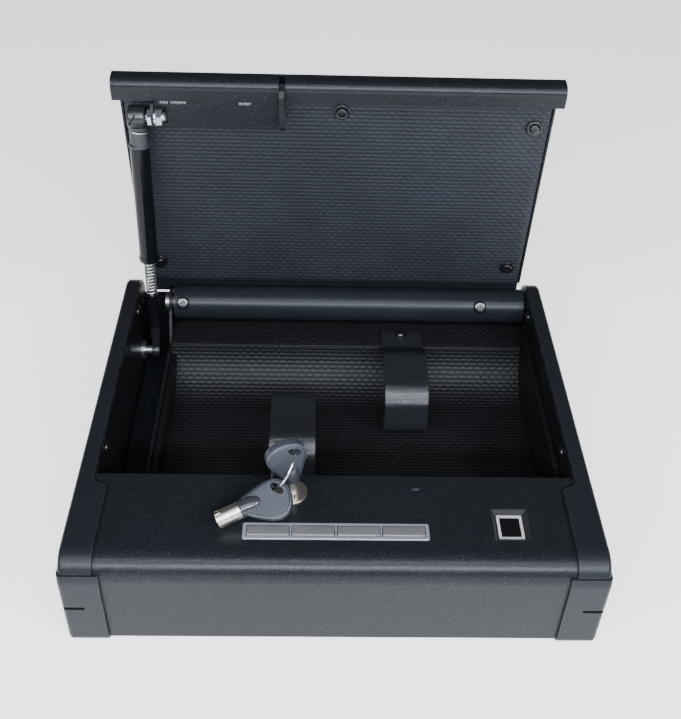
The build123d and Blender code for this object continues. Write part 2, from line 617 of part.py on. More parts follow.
def hinge_barrel():
    """Rolled tube along the back of the lid, open towards its two ends."""
    tube = bar_x(BARREL_R, BARREL_LEFT, BARREL_RIGHT, HINGE_Y, HINGE_Z)
    tube = fillet(tube.faces().sort_by(Axis.X)[-1].edges(), 1.0)
    return tube - bar_x(BARREL_R - SHEET, -WIDTH, WIDTH, HINGE_Y, HINGE_Z)


def hinge_pins():
    """Two stub pins on plugs that close the ends of the barrel."""
    plug_r, plug_length = BARREL_R - SHEET, 8.0
    left_end, right_end, head_r = -118.0, 141.0, 6.0
    left = bar_x(plug_r, BARREL_LEFT, BARREL_LEFT + plug_length, HINGE_Y, HINGE_Z)
    left += bar_x(PIN_R, left_end, BARREL_LEFT, HINGE_Y, HINGE_Z)
    left += bar_x(head_r, left_end, DIVIDER_X - DIVIDER_THICK - 0.4, HINGE_Y, HINGE_Z)
    right = bar_x(plug_r, BARREL_RIGHT - plug_length, BARREL_RIGHT, HINGE_Y, HINGE_Z)
    right += bar_x(PIN_R, BARREL_RIGHT, right_end, HINGE_Y, HINGE_Z)
    return Compound(children=[left, right])


def barrel_screws():
    """Two pan-head screws through the barrel, facing forward and up when open."""
    screws = []
    for x in BARREL_SCREW_XS:
        head = bar_z(4.4, x, HINGE_Y, HINGE_Z - BARREL_R - 1.6, HINGE_Z - BARREL_R + 1.0)
        head = fillet(head.edges().sort_by(Axis.Z)[0], 1.0)
        head -= bar_z(1.7, x, HINGE_Y, 0, HINGE_Z - BARREL_R - 0.8)
        head -= bar_x(BARREL_R, -WIDTH, WIDTH, HINGE_Y, HINGE_Z)
        screws.append(Pos(0, HINGE_Y, HINGE_Z) * Rot(BARREL_SCREW_TILT, 0, 0)
                      * Pos(0, -HINGE_Y, -HINGE_Z) * head)
    return Compound(children=screws)


def striker_bracket():
    """Welded plate with the latch striker at one end and the strut ear at the other."""
    plate_z0, plate_z1 = LIP_Z + SHEET, LIP_Z + SHEET + BRACKET_THICK
    y0, y1 = LIP_FRONT + 5, BRACKET_REAR
    plate = block(EAR_X, STRIKER_X + BRACKET_THICK, y0, y1, plate_z0, plate_z1)
    foot_z, notch_top = 41.0, LATCH_Z1 + 0.5
    hook = polygon([(LIP_FRONT + 1.5, foot_z + 3), (LIP_FRONT + 4.5, foot_z), (y1 - 6, foot_z),
                    (y1, foot_z + 6), (y1, plate_z1), (LIP_FRONT + 1.5, plate_z1)])
    notch = polygon([(0, LATCH_Z0 - 0.5), (LIP_FRONT + 9, LATCH_Z0 - 0.5),
                     (LIP_FRONT + 9, notch_top), (0, notch_top)])
    striker = across(hook - notch, STRIKER_X - BRACKET_THICK, STRIKER_X + BRACKET_THICK)
    ear = polygon([(LIP_REAR + 0.3, plate_z1), (y1, plate_z1), (y1, STUD_Z - 2), (y1 - 5, STUD_Z - 6),
                   (LIP_REAR + 5, STUD_Z - 6), (LIP_REAR + 0.3, STUD_Z - 2)])
    ear = across(ear, EAR_X - BRACKET_THICK, EAR_X)
    relief = block(EAR_X, EAR_X + NUT_RELIEF_X, STUD_Y - NUT_RELIEF_Y, STUD_Y + NUT_RELIEF_Y,
                   0, plate_z1)
    return plate - relief + striker + ear - bar_x(STUD_THREAD_R, -WIDTH, EAR_X, STUD_Y, STUD_Z)


def strut_stud_upper():
    """Ball stud through the bracket's ear."""
    end, root, bevel, radius = EAR_X + 6.5 - STUD_X, 3.2, 0.8, STUD_THREAD_R
    profile = Polyline((0, 0), (end, 0), (end, radius - bevel), (end - bevel, radius), (root, radius),
                       (root, 0.5))
    stem = revolve(make_face(profile + Line((root, 0.5), (0, 0))), Axis.X)
    ball = Rot(0, 90, 0) * Sphere(BALL_R)
    return Pos(STUD_X, STUD_Y, STUD_Z) * (ball + stem)


def strut_nuts():
    """Zinc nuts and a washer on the upper ball stud."""
    hole = bar_x(STUD_THREAD_R, -WIDTH, 0, STUD_Y, STUD_Z)
    back, seat = EAR_X - BRACKET_THICK, EAR_X + WASHER_THICK
    inner = hexagon_x(NUT_FLATS, back - THIN_NUT_LENGTH, back, STUD_Y, STUD_Z)
    washer = bar_x(WASHER_R, EAR_X, seat, STUD_Y, STUD_Z)
    outer = hexagon_x(NUT_FLATS, seat, seat + NUT_LENGTH, STUD_Y, STUD_Z)
    return Compound(children=[inner - hole, washer - hole, outer - hole])


# ---------------------------------------------------------------- strut, at rest
TOP_Y, TOP_Z = swung(STUD_Y, STUD_Z)
STRUT_FOOT = Vector(FOOT_X, FOOT_Y, FOOT_Z)
STRUT_TOP = Vector(STUD_X, TOP_Y, TOP_Z)
STRUT_AXIS = (STRUT_TOP - STRUT_FOOT).normalized()
STRUT_LENGTH = (STRUT_TOP - STRUT_FOOT).length
STRUT_PLANE = Plane(origin=STRUT_FOOT, x_dir=(1, 0, 0), z_dir=STRUT_AXIS)
TUBE_TOP = STRUT_LENGTH - NECK_LENGTH
TUBE_BOTTOM = TUBE_TOP - TUBE_LENGTH


def along_strut(radius, s0, s1):
    """Round bar along the strut between two distances from its foot."""
    return STRUT_PLANE.location * bar_z(radius, 0, 0, s0, s1)


def strut_tube():
    """Outer tube with a rolled collar at its mouth."""
    tube = along_strut(TUBE_R, TUBE_BOTTOM, TUBE_TOP) + along_strut(TUBE_R + 0.4, TUBE_BOTTOM, TUBE_BOTTOM + 3)
    tube = chamfer(tube.edges().filter_by(GeomType.CIRCLE).sort_by(Axis.Z)[-1], 0.6)
    return tube - along_strut(SLEEVE_R + 0.6, TUBE_BOTTOM - 5, TUBE_TOP - 4)


def strut_socket_upper():
    """Moulded ball socket with a neck that caps the tube."""
    cup = Pos(STUD_X + 0.2, TOP_Y, TOP_Z) * Rot(0, 90, 0) * Cylinder(SOCKET_R, SOCKET_LENGTH)
    cup = fillet(cup.edges().filter_by(GeomType.CIRCLE), 1.6)
    neck = along_strut(NECK_R, TUBE_TOP, STRUT_LENGTH - 2)
    body = cup + neck + along_strut(COLLAR_R, TUBE_TOP, TUBE_TOP + 2)
    return body - bar_x(BALL_R + RUN_FIT, STUD_X - BALL_R - 0.3, EAR_X, TOP_Y, TOP_Z)


def strut_rod():
    """Centre rod that guides the coil."""
    return along_strut(ROD_R, ROD_START, TUBE_BOTTOM + 24)


def strut_spring():
    """Coil between the sleeve and the inside of the tube."""
    start = SLEEVE_BOTTOM + SLEEVE_LENGTH + SPRING_WIRE + 0.1
    length = TUBE_BOTTOM + 10 - start
    path = Helix(pitch=SPRING_PITCH, height=length, radius=SPRING_R)
    profile = Plane(origin=path @ 0, z_dir=path % 0) * Circle(SPRING_WIRE)
    coil = sweep(profile, path=path, is_frenet=True)
    return STRUT_PLANE.location * Pos(0, 0, start) * coil


def strut_sleeve():
    """Inner sleeve that pushes into the tube as the lid closes."""
    sleeve = along_strut(SLEEVE_R, SLEEVE_BOTTOM, SLEEVE_BOTTOM + SLEEVE_LENGTH)
    return sleeve - along_strut(ROD_R, 0, STRUT_LENGTH)


def strut_end_fitting():
    """Tapered end fitting with a flat eye beside the lower stud."""
    eye = Pos(FOOT_X, FOOT_Y, FOOT_Z) * Rot(0, 90, 0) * Cylinder(STRUT_EYE_R, STRUT_EYE_WIDTH)
    cone_r, cone_length = 3.0, 18.0
    cone = Cone(cone_r, SLEEVE_R, cone_length)
    cone = STRUT_PLANE.location * Pos(0, 0, SLEEVE_BOTTOM - cone_length / 2) * cone
    return cone + eye - along_strut(ROD_R, ROD_START, STRUT_LENGTH)


def strut_stud_lower():
    """Stud on the left wall that the strut's foot hangs beside."""
    tip, flange_r, flange = FOOT_X - STRUT_EYE_WIDTH / 2 - EYE_GAP, 6.5, 2.5
    stud = bar_x(STUD_THREAD_R, -WALL_X - SHEET - 2, tip, FOOT_Y, FOOT_Z)
    return stud + bar_x(flange_r, -WALL_X, -WALL_X + flange, FOOT_Y, FOOT_Z)


# ---------------------------------------------------------------- keys
def key_bow():
    """Moulded bow drawn upright: bullet-shaped stem, lopsided head, ring hole and label recess."""
    outline = Spline((-5.0, -8), (-11.0, 0.5), (-14.6, 9.0), (-11.2, 16.8), (-3.0, 19.8), (4.6, 18.4),
                     (8.1, 12.5), (7.4, 2.5), (5.0, -8), tangents=[(-0.4, 1.0), (-0.25, -1.0)])
    head = make_face(outline + Line((5.0, -8), (-5.0, -8)))
    slab = extrude(Plane.XZ * head, amount=BOW_THICK / 2, both=True)
    label = Pos(-3.3, 8.2) * Ellipse(8.6, 8.2)
    for side in (-1, 1):
        face = Plane.XZ.offset(side * (BOW_THICK / 2 - 0.4))
        slab -= extrude(face * label, amount=side * 2)
    bullet_r, shoulder, half = 5.2, -KEY_STEM + 4, 9.0
    dome = Pos(0, 0, shoulder) * scale(Sphere(bullet_r), (1, 1, 2.0))
    bullet = bar_z(bullet_r, 0, 0, -KEY_STEM, shoulder)
    bullet += dome & block(-half, half, -half, half, -KEY_STEM, HEIGHT)
    hole = extrude(Plane.XZ * (Pos(RING_HOLE_X, RING_HOLE_Z) * Circle(RING_HOLE_R)), amount=20, both=True)
    neck = bar_z(KEY_NECK_R, 0, 0, -KEY_STEM - 1, -KEY_STEM + 3)
    return slab + bullet - hole - neck


def key_barrel():
    """Tubular key shank below the bow, notched at the tip."""
    bottom = -KEY_STEM - KEY_BARREL_LENGTH
    shank = bar_z(KEY_BARREL_R, 0, 0, bottom, -KEY_STEM)
    shank += bar_z(KEY_NECK_R, 0, 0, -KEY_STEM, -KEY_STEM + 3)
    shank -= bar_z(3.5, 0, 0, bottom - 1, bottom + 9)
    notches, half_width = 7, 0.6
    for index in range(notches):
        depth = 2.0 + index % 3
        notch = block(KEY_BARREL_R - 0.7, 8, -half_width, half_width, bottom - 1, bottom + depth)
        shank -= Rot(0, 0, 360 / notches * index + 20) * notch
    return shank


def upright_placement():
    """Where the key stands in the lock."""
    height = KEY_SEAT_Z + 0.2 + KEY_BARREL_LENGTH + KEY_STEM
    return Pos(LOCK_X, LOCK_Y, height) * Rot(0, 0, UPRIGHT_TURN)


def spare_placement():
    """Where the spare key leans on the deck, held up by the ring."""
    lie = Rot(0, 0, SPARE_TURN) * Rot(0, -SPARE_RISE, 0) * Rot(SPARE_ROLL, 0, 0)
    return Pos(*SPARE_TIP) * lie * Rot(0, 90, 0) * Rot(0, 0, 90) * Pos(0, 0, KEY_STEM + KEY_BARREL_LENGTH)


def hole_centre(placement):
    """Centre of the ring hole of a placed key."""
    return (placement * Pos(RING_HOLE_X, 0, RING_HOLE_Z)).position


def ring_plane():
    """Plane of the ring that joins both keys, bulging towards the front."""
    first, second = hole_centre(upright_placement()), hole_centre(spare_placement())
    chord = second - first
    along = chord.normalized()
    bulge = Vector(0, -1, 0)
    bulge = (bulge - along * bulge.dot(along)).normalized()
    setback = math.sqrt(RING_R ** 2 - (chord.length / 2) ** 2)
    centre = (first + second) * 0.5 - bulge * setback
    return Plane(origin=centre, x_dir=bulge, z_dir=along.cross(bulge))


def key_ring():
    """Thin wire ring through both bows."""
    return ring_plane().location * Torus(RING_R, RING_WIRE)


# ---------------------------------------------------------------- export
def nodes():
    """Every piece by name, in the working frame at rest."""
    rail, skirt, wall = side_rail(), side_skirt(), side_wall()
    pieces = {
        "base_plate": base_plate(),
        "side_wall_right": wall,
        "side_wall_left": mirrored(wall) - bar_x(STUD_THREAD_R, -WIDTH, 0, FOOT_Y, FOOT_Z),
        "rear_wall": rear_wall(),
        "rear_cradle": rear_cradle(),
        "divider": divider(),
        "mechanism_wall": mechanism_wall(),
        "front_panel": front_panel(),
        "side_rail_right": rail,
        "side_rail_left": mirrored(rail),
        "side_skirt_right": skirt,
        "side_skirt_left": mirrored(skirt),
        "floor_liner": floor_liner(),
        "left_liner": side_liner(DIVIDER_X, DIVIDER_X + FOAM),
        "right_liner": side_liner(WALL_X - FOAM, WALL_X),
        "cover_screws": cover_screws(),
        "keypad_frame": keypad_frame(),
        "control_board": control_board(),
        "fingerprint_bezel": fingerprint_bezel(),
        "fingerprint_frame": fingerprint_frame(),
        "fingerprint_sensor": fingerprint_sensor(),
        "status_lens": status_lens(),
        "lock_body": lock_body(),
        "lock_nut": lock_nut(),
        "lock_plug": lock_plug(),
        "lock_cam": lock_cam(),
        "latch_bolt": latch_bolt(),
        "latch_guide": latch_guide(),
        "latch_motor": latch_motor(),
        "battery_box": battery_box(),
        "batteries": batteries(),
        "strap_right": strap_right(),
        "strap_left": strap_left(),
        "strut_tube": strut_tube(),
        "strut_socket_upper": strut_socket_upper(),
        "strut_rod": strut_rod(),
        "strut_spring": strut_spring(),
        "strut_sleeve": strut_sleeve(),
        "strut_end_fitting": strut_end_fitting(),
        "strut_stud_lower": strut_stud_lower(),
        "key_bow": upright_placement() * key_bow(),
        "key_barrel": upright_placement() * key_barrel(),
        "spare_key_bow": spare_placement() * key_bow(),
        "spare_key_barrel": spare_placement() * key_barrel(),
        "key_ring": key_ring(),
    }
    for index in range(KEY_COUNT):
        pieces[f"key_button_{index + 1}"] = key_button(index)
    on_lid = {
        "lid_panel": lid_panel(),
        "lid_lip": lid_lip(),
        "lid_liner": lid_liner(),
        "lid_screws": lid_screws(),
        "lid_washers": lid_washers(),
        "hinge_barrel": hinge_barrel(),
        "hinge_pins": hinge_pins(),
        "barrel_screws": barrel_screws(),
        "striker_bracket": striker_bracket(),
        "strut_stud_upper": strut_stud_upper(),
        "strut_nuts": strut_nuts(),
    }
    pieces.update({name: opened(piece) for name, piece in on_lid.items()})
    return pieces


def main():
    """Write one STEP file per piece."""
    os.makedirs("parts", exist_ok=True)
    origin_shift = Pos(0, -DEPTH / 2, 0)
    for name, piece in nodes().items():
        export_step(origin_shift * piece, f"parts/{name}.step")


if __name__ == "__main__":
    main()
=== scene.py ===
"""Looks for a quick-access gun safe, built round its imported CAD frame.

Lengths in the classes are millimetres in the maker's frame: x to the right, y back from the
front face, z up from the underside. to_metres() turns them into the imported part's frame.
"""
import logging
import math
from dataclasses import dataclass, field
from enum import Enum
from typing import Callable, Dict, List, Optional, Sequence, Tuple, Union

import bmesh
import bpy
from mathutils import Matrix, Vector


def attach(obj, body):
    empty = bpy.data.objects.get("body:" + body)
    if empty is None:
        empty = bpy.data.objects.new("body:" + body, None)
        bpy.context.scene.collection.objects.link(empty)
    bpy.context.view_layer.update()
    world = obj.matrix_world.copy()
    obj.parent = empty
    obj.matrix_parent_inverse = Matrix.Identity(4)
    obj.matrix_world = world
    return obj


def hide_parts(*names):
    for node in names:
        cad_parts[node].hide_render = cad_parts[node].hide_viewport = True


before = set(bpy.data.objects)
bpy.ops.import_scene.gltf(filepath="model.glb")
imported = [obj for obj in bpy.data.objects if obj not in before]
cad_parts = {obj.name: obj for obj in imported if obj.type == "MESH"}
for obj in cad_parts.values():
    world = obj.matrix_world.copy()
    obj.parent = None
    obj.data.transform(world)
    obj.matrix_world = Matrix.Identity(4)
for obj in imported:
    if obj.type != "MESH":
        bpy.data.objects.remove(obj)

LOG = logging.getLogger("safe")
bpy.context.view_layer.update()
MM = 0.001
HALF_DEPTH = 131.5
MAP_NAME = "run"
WELD_GAP = 0.000002
SEAM_GAP = 0.00002
Flat = Tuple[float, float]
Point = Tuple[float, float, float]
Colour = Tuple[float, float, float]
Operand = Union["Signal", float]
Shade = Union[Colour, bpy.types.NodeSocket]


def to_metres(x: float, y: float, z: float) -> Vector:
    """A point of the maker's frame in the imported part's frame."""
    return Vector((x, y - HALF_DEPTH, z)) * MM


def to_maker(point: Vector) -> Vector:
    """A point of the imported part's frame in the maker's frame, in millimetres."""
    return Vector((point.x / MM, point.y / MM + HALF_DEPTH, point.z / MM))


# ------------------------------------------------------------------------------ finishes
def arithmetic(operation: str, swapped: bool = False) -> Callable[["Signal", Operand], "Signal"]:
    """Make an operator of Signal that adds one Math node.

    Args:
        operation: the node's operation.
        swapped: whether the other operand comes first.

    Returns:
        The operator.
    """
    def operator(signal: "Signal", other: Operand) -> "Signal":
        """Add the node."""
        return signal.math(operation, *((other, signal) if swapped else (signal, other)))
    return operator


class Signal:
    """A node socket that takes part in Python arithmetic by adding Math nodes."""

    def __init__(self, bench: "NodeBench", socket: bpy.types.NodeSocket) -> None:
        """Wrap a socket of a bench's tree."""
        self.bench = bench
        self.socket = socket

    def math(self, operation: str, *operands: Operand) -> "Signal":
        """Add one Math node.

        Args:
            operation: the node's operation.
            operands: its operands, in order.

        Returns:
            The node's result.
        """
        node = self.bench.add("ShaderNodeMath", {"operation": operation}, dict(enumerate(operands)))
        return Signal(self.bench, node.outputs[0])

    __add__ = __radd__ = arithmetic("ADD")
    __sub__ = arithmetic("SUBTRACT")
    __rsub__ = arithmetic("SUBTRACT", swapped=True)
    __mul__ = __rmul__ = arithmetic("MULTIPLY")
    __truediv__ = arithmetic("DIVIDE")
    __pow__ = arithmetic("POWER")
    __gt__ = arithmetic("GREATER_THAN")
    most = arithmetic("MAXIMUM")

    def floor(self) -> "Signal":
        """Whole part."""
        return self.math("FLOOR", self)

    def fract(self) -> "Signal":
        """Part after the point."""
        return self.math("FRACT", self)

    def size(self) -> "Signal":
        """Absolute value."""
        return self.math("ABSOLUTE", self)

    def sine(self) -> "Signal":
        """Sine of the signal in radians."""
        return self.math("SINE", self)

    def between(self, low: float, high: float) -> "Signal":
        """Smooth step from nought at low to one at high.

        Args:
            low: where the step starts.
            high: where it ends.

        Returns:
            The step.
        """
        node = self.bench.add("ShaderNodeMapRange", {"interpolation_type": "SMOOTHSTEP"},
                              {"Value": self, "From Min": low, "From Max": high})
        return Signal(self.bench, node.outputs[0])


class NodeBench:
    """One material's node tree while its finish is being laid out."""

    def __init__(self, name: str) -> None:
        """Start an empty tree with its output and surface shader."""
        self.material = bpy.data.materials.new(name)
        self.material.use_nodes = True
        self.tree = self.material.node_tree
        self.tree.nodes.clear()
        self.surface = self.add("ShaderNodeBsdfPrincipled")
        self.add("ShaderNodeOutputMaterial", {}, {"Surface": self.surface.outputs[0]})

    def wire(self, node: bpy.types.Node, values: Dict[Union[str, int], object]) -> None:
        """Set or link a node's sockets.

        Args:
            node: the node.
            values: values or links by the name or number of the socket.
        """
        for key, value in values.items():
            link = value.socket if isinstance(value, Signal) else value
            if isinstance(link, bpy.types.NodeSocket):
                self.tree.links.new(link, node.inputs[key])
            else:
                node.inputs[key].default_value = value

    def add(self, kind: str, settings: Optional[dict] = None,
            inputs: Optional[dict] = None) -> bpy.types.Node:
        """Add any node.

        Args:
            kind: the node's type.
            settings: its own settings, set first.
            inputs: values or links by the name or number of the socket.

        Returns:
            The node.
        """
        node = self.tree.nodes.new(kind)
        for key, value in (settings or {}).items():
            setattr(node, key, value)
        self.wire(node, inputs or {})
        return node

    def place(self) -> bpy.types.NodeSocket:
        """Object coordinates in metres."""
        return self.add("ShaderNodeTexCoord").outputs["Object"]

    def split(self, vector: bpy.types.NodeSocket) -> Tuple[Signal, Signal]:
        """The first two parts of a vector."""
        node = self.add("ShaderNodeSeparateXYZ", {}, {0: vector})
        return Signal(self, node.outputs[0]), Signal(self, node.outputs[1])

    def uv(self) -> Tuple[Signal, Signal]:
        """The piece's own map, in metres: across, along."""
        return self.split(self.add("ShaderNodeUVMap", {"uv_map": MAP_NAME}).outputs[0])

    def noise(self, scale: float, detail: float = 2.0, rough: float = 0.5,
              stretch: Point = (1.0, 1.0, 1.0)) -> Signal:
        """Smooth noise over Object coordinates.

        Args:
            scale: cells per metre.
            detail: octaves.
            rough: strength of the finer octaves.
            stretch: scale along each axis, for brushed or drawn surfaces.

        Returns:
            Noise about one half.
        """
        vector = self.place()
        if stretch != (1.0, 1.0, 1.0):
            vector = self.add("ShaderNodeMapping", {}, {"Vector": vector, "Scale": stretch}).outputs[0]
        node = self.add("ShaderNodeTexNoise", {},
                        {"Vector": vector, "Scale": scale, "Detail": detail, "Roughness": rough})
        return Signal(self, node.outputs[0])

    def cells(self, scale: float) -> Signal:
        """Distance to the nearest of scattered points, in cells."""
        node = self.add("ShaderNodeTexVoronoi", {}, {"Vector": self.place(), "Scale": scale})
        return Signal(self, node.outputs["Distance"])

    def edges(self, radius: float) -> Signal:
        """Mask of convex and concave edges.

        Args:
            radius: reach of the mask in metres.

        Returns:
            One on edges, nought on flats.
        """
        soft = self.add("ShaderNodeBevel", {"samples": 4}, {"Radius": radius})
        true = self.add("ShaderNodeNewGeometry")
        dot = self.add("ShaderNodeVectorMath", {"operation": "DOT_PRODUCT"},
                       {0: soft.outputs[0], 1: true.outputs["Normal"]})
        return (1.0 - Signal(self, dot.outputs["Value"])).between(0.02, 0.22)

    def blend(self, share: Signal, first: Shade, second: Shade) -> bpy.types.NodeSocket:
        """Mix two colours.

        Args:
            share: how much of the second.
            first: a colour or a link.
            second: a colour or a link.

        Returns:
            The mixed colour's socket.
        """
        sides = [(*c, 1.0) if isinstance(c, tuple) else c for c in (first, second)]
        node = self.add("ShaderNodeMix", {"data_type": "RGBA"}, {0: share, 6: sides[0], 7: sides[1]})
        return node.outputs[2]

    def finish(self, colour: Shade, rough: Operand, height: Optional[Signal] = None, relief: float = 0.0,
               **others: Union[Signal, float, Colour]) -> bpy.types.Material:
        """Wire the surface shader.

        Args:
            colour: base colour.
            rough: roughness.
            height: relief pattern.
            relief: depth of the relief in metres.
            others: further sockets of the shader, with underscores for spaces.

        Returns:
            The material.
        """
        values: Dict[str, object] = {"Base_Color": colour, "Roughness": rough, **others}
        if height is not None:
            bump = self.add("ShaderNodeBump", {}, {"Height": height, "Distance": relief, "Strength": 1.0})
            values["Normal"] = bump.outputs[0]
        self.wire(self.surface, {key.replace("_", " "): (*value, 1.0) if isinstance(value, tuple) else value
                                 for key, value in values.items()})
        return self.material


MADE: Dict[str, bpy.types.Material] = {}


@dataclass(frozen=True)
class Finish:
    """Any finish of the safe. A subclass lays out its nodes."""

    name: str

    def layout(self, bench: NodeBench) -> bpy.types.Material:
        """Lay out the nodes."""
        raise NotImplementedError

    def material(self) -> bpy.types.Material:
        """The finish's material, made once."""
        if self.name not in MADE:
            MADE[self.name] = self.layout(NodeBench(self.name))
        return MADE[self.name]


@dataclass(frozen=True)
class PowderCoat(Finish):
    """Baked black coat: orange peel, fine pale flecks, a painted highlight in patches along the edges, and
    faint handling marks.
    """

    dark: Colour = (0.0062, 0.0070, 0.0085)
    fleck: Colour = (0.080, 0.090, 0.110)
    # Colour of the painted highlight along edges.
    edge_highlight: Colour = (0.060, 0.066, 0.078)
    peel: float = 620.0
    relief: float = 0.00010
    roughness: float = 0.31
    fleck_share: float = 0.635
    edge: float = 0.0005
    gloss: float = 0.21

    def layout(self, bench: NodeBench) -> bpy.types.Material:
        """Lay out the nodes."""
        peel = bench.noise(self.peel, 2.0, 0.6)
        fine = bench.noise(self.peel * 2.6, 1.0)
        flecks = fine.between(self.fleck_share, self.fleck_share + 0.10)
        broad = bench.noise(14.0, 3.0)
        # Painted highlight: edges are lightened towards the highlight colour in noisy patches, and made a
        # little smoother there.
        edge_highlight_mask = bench.edges(self.edge) * bench.noise(160.0, 3.0).between(0.35, 0.65)
        coat = bench.blend(broad, self.dark, tuple(c * 1.5 for c in self.dark))
        coat = bench.blend(flecks * 0.55, coat, self.fleck)
        coat = bench.blend(edge_highlight_mask * 0.5, coat, self.edge_highlight)
        rough = self.roughness + (broad - 0.5) * 0.10 + (fine - 0.5) * 0.12 - edge_highlight_mask * 0.08
        return bench.finish(coat, rough, peel * 0.7 + fine * 0.3, self.relief,
                            Specular_IOR_Level=self.gloss)


@dataclass(frozen=True)
class EmbossedFoam(Finish):
    """Dark liner sheet pressed with rows of small scales, each row shifted by half a scale. Its colour is
    lighter on each scale's crown and darker between scales, a painted shade of the relief.
    """

    dark: Colour = (0.012, 0.013, 0.016)
    light: Colour = (0.040, 0.044, 0.054)
    pitch_across: float = 0.0054
    pitch_along: float = 0.0028
    relief: float = 0.00032
    roughness: float = 0.55
    gloss: float = 0.22

    def layout(self, bench: NodeBench) -> bpy.types.Material:
        """Lay out the nodes."""
        across, along = bench.uv()
        rows = along / self.pitch_along
        shift = (rows.floor() * 0.5).fract()
        column = ((across / self.pitch_across + shift).fract() - 0.5) * 2.0
        row = (rows.fract() - 0.5) * 2.0
        scale = (1.0 - column * column * 0.9 - row * row).most(0.0) ** 0.6
        grain = bench.noise(2600.0, 2.0)
        dust = bench.noise(20.0, 4.0, 0.6).between(0.35, 0.75)
        # Painted shade: the colour follows the scales' height, darker in the grooves between them, with grain
        # and dust laid over it.
        shaded_scales_grain_and_dust = (scale * 0.6 + grain * 0.3) * (0.55 + dust * 0.6)
        colour = bench.blend(shaded_scales_grain_and_dust, self.dark, self.light)
        rough = self.roughness - scale * 0.10 + (grain - 0.5) * 0.2
        return bench.finish(colour, rough, scale + grain * 0.18, self.relief,
                            Specular_IOR_Level=self.gloss)


@dataclass(frozen=True)
class Webbing(Finish):
    """Glossy black band with fine ribs across it and thin lengthwise drawn lines; each rib is lightened in
    colour as a painted sheen.
    """

    dark: Colour = (0.0045, 0.0050, 0.0060)
    light: Colour = (0.026, 0.028, 0.032)
    rib: float = 0.0008
    relief: float = 0.00009
    roughness: float = 0.22

    def layout(self, bench: NodeBench) -> bpy.types.Material:
        """Lay out the nodes."""
        across, along = bench.uv()
        ribs = (along * (2 * math.pi / self.rib)).sine() * 0.5 + 0.5
        lines = (across * (2 * math.pi / (self.rib * 0.7))).sine() * 0.5 + 0.5
        grain = bench.noise(1700.0, 2.0, 0.6)
        scuff = bench.noise(60.0, 5.0, 0.7).between(0.62, 0.78)
        # Painted sheen: the ribs lighten the colour along each rib crest. Grain and scuffs are the band's own
        # marks.
        colour = bench.blend(ribs * 0.25 + grain * 0.3 + scuff * 0.5, self.dark, self.light)
        rough = self.roughness + (grain - 0.5) * 0.22 + scuff * 0.15
        return bench.finish(colour, rough, ribs * 0.6 + lines * 0.35 + grain * 0.7, self.relief)


@dataclass(frozen=True)
class BareMetal(Finish):
    """Plated or bare metal: drawn grain, cloudy tarnish, bright edges and small pits."""

    clean: Colour = (0.62, 0.60, 0.56)
    dull: Colour = (0.34, 0.32, 0.30)
    roughness: float = 0.26
    grain: float = 900.0
    stretch: Point = (1.0, 1.0, 1.0)
    relief: float = 0.00002
    tarnish: float = 0.5

    def layout(self, bench: NodeBench) -> bpy.types.Material:
        """Lay out the nodes."""
        drawn = bench.noise(self.grain, 3.0, 0.6, self.stretch)
        cloud = bench.noise(220.0, 4.0, 0.6).between(0.35, 0.7)
        pits = 1.0 - bench.cells(1400.0).between(0.04, 0.14)
        edge = bench.edges(0.0003)
        share = (cloud * self.tarnish + pits * 0.4 + (drawn - 0.5) * 0.3) * (1.0 - edge * 0.6)
        colour = bench.blend(share, self.clean, self.dull)
        rough = self.roughness + (drawn - 0.5) * 0.22 + cloud * 0.12 - edge * 0.06
        return bench.finish(colour, rough, drawn - pits * 0.6, self.relief, Metallic=1.0)


@dataclass(frozen=True)
class Moulding(Finish):
    """Moulded plastic: spark-eroded grain, slight flow marks, and edges made smoother and lightened in colour
    as a painted highlight.
    """

    dark: Colour = (0.030, 0.033, 0.040)
    light: Colour = (0.060, 0.066, 0.080)
    roughness: float = 0.35
    grain: float = 1800.0
    relief: float = 0.00003
    speck: float = 0.3

    def layout(self, bench: NodeBench) -> bpy.types.Material:
        """Lay out the nodes."""
        grain = bench.noise(self.grain, 2.0, 0.6)
        flow = bench.noise(90.0, 3.0)
        edge = bench.edges(0.0004)
        # Painted highlight: the edge mask lightens the colour along every edge.
        share = flow * 0.4 + grain.between(0.45, 0.7) * self.speck + edge * 0.5
        colour = bench.blend(share, self.dark, self.light)
        rough = self.roughness + (grain - 0.5) * 0.16 + (flow - 0.5) * 0.1 - edge * 0.08
        return bench.finish(colour, rough, grain, self.relief)


@dataclass(frozen=True)
class DarkGlass(Finish):
    """Black sensor glass with faint touch smears."""

    tint: Colour = (0.004, 0.004, 0.005)
    smudge: Colour = (0.03, 0.03, 0.034)

    def layout(self, bench: NodeBench) -> bpy.types.Material:
        """Lay out the nodes."""
        smear = bench.noise(420.0, 4.0, 0.6, (1.0, 0.3, 1.0))
        spots = bench.noise(1500.0, 2.0).between(0.6, 0.7)
        colour = bench.blend(spots * 0.3, self.tint, self.smudge)
        return bench.finish(colour, 0.06 + smear * 0.14 + spots * 0.2, smear, 0.000004)


@dataclass(frozen=True)
class CircuitBoard(Finish):
    """Dark green board with a grid of tracks and solder points."""

    mask: Colour = (0.012, 0.070, 0.030)
    track: Colour = (0.020, 0.130, 0.055)
    solder: Colour = (0.45, 0.44, 0.42)
    lanes_per_metre: float = 260.0
    rungs_per_metre: float = 190.0

    def layout(self, bench: NodeBench) -> bpy.types.Material:
        """Lay out the nodes."""
        x, y = bench.split(bench.place())
        lanes = ((x * self.lanes_per_metre).fract() - 0.5).size().between(0.32, 0.38)
        rungs = ((y * self.rungs_per_metre).fract() - 0.5).size().between(0.36, 0.42)
        points = 1.0 - bench.cells(330.0).between(0.14, 0.20)
        colour = bench.blend(lanes.most(rungs), self.mask, self.track)
        colour = bench.blend(points, colour, self.solder)
        rough = 0.30 + bench.noise(500.0) * 0.12 - points * 0.1
        return bench.finish(colour, rough, lanes + rungs + points * 2.0, 0.00004, Metallic=points)


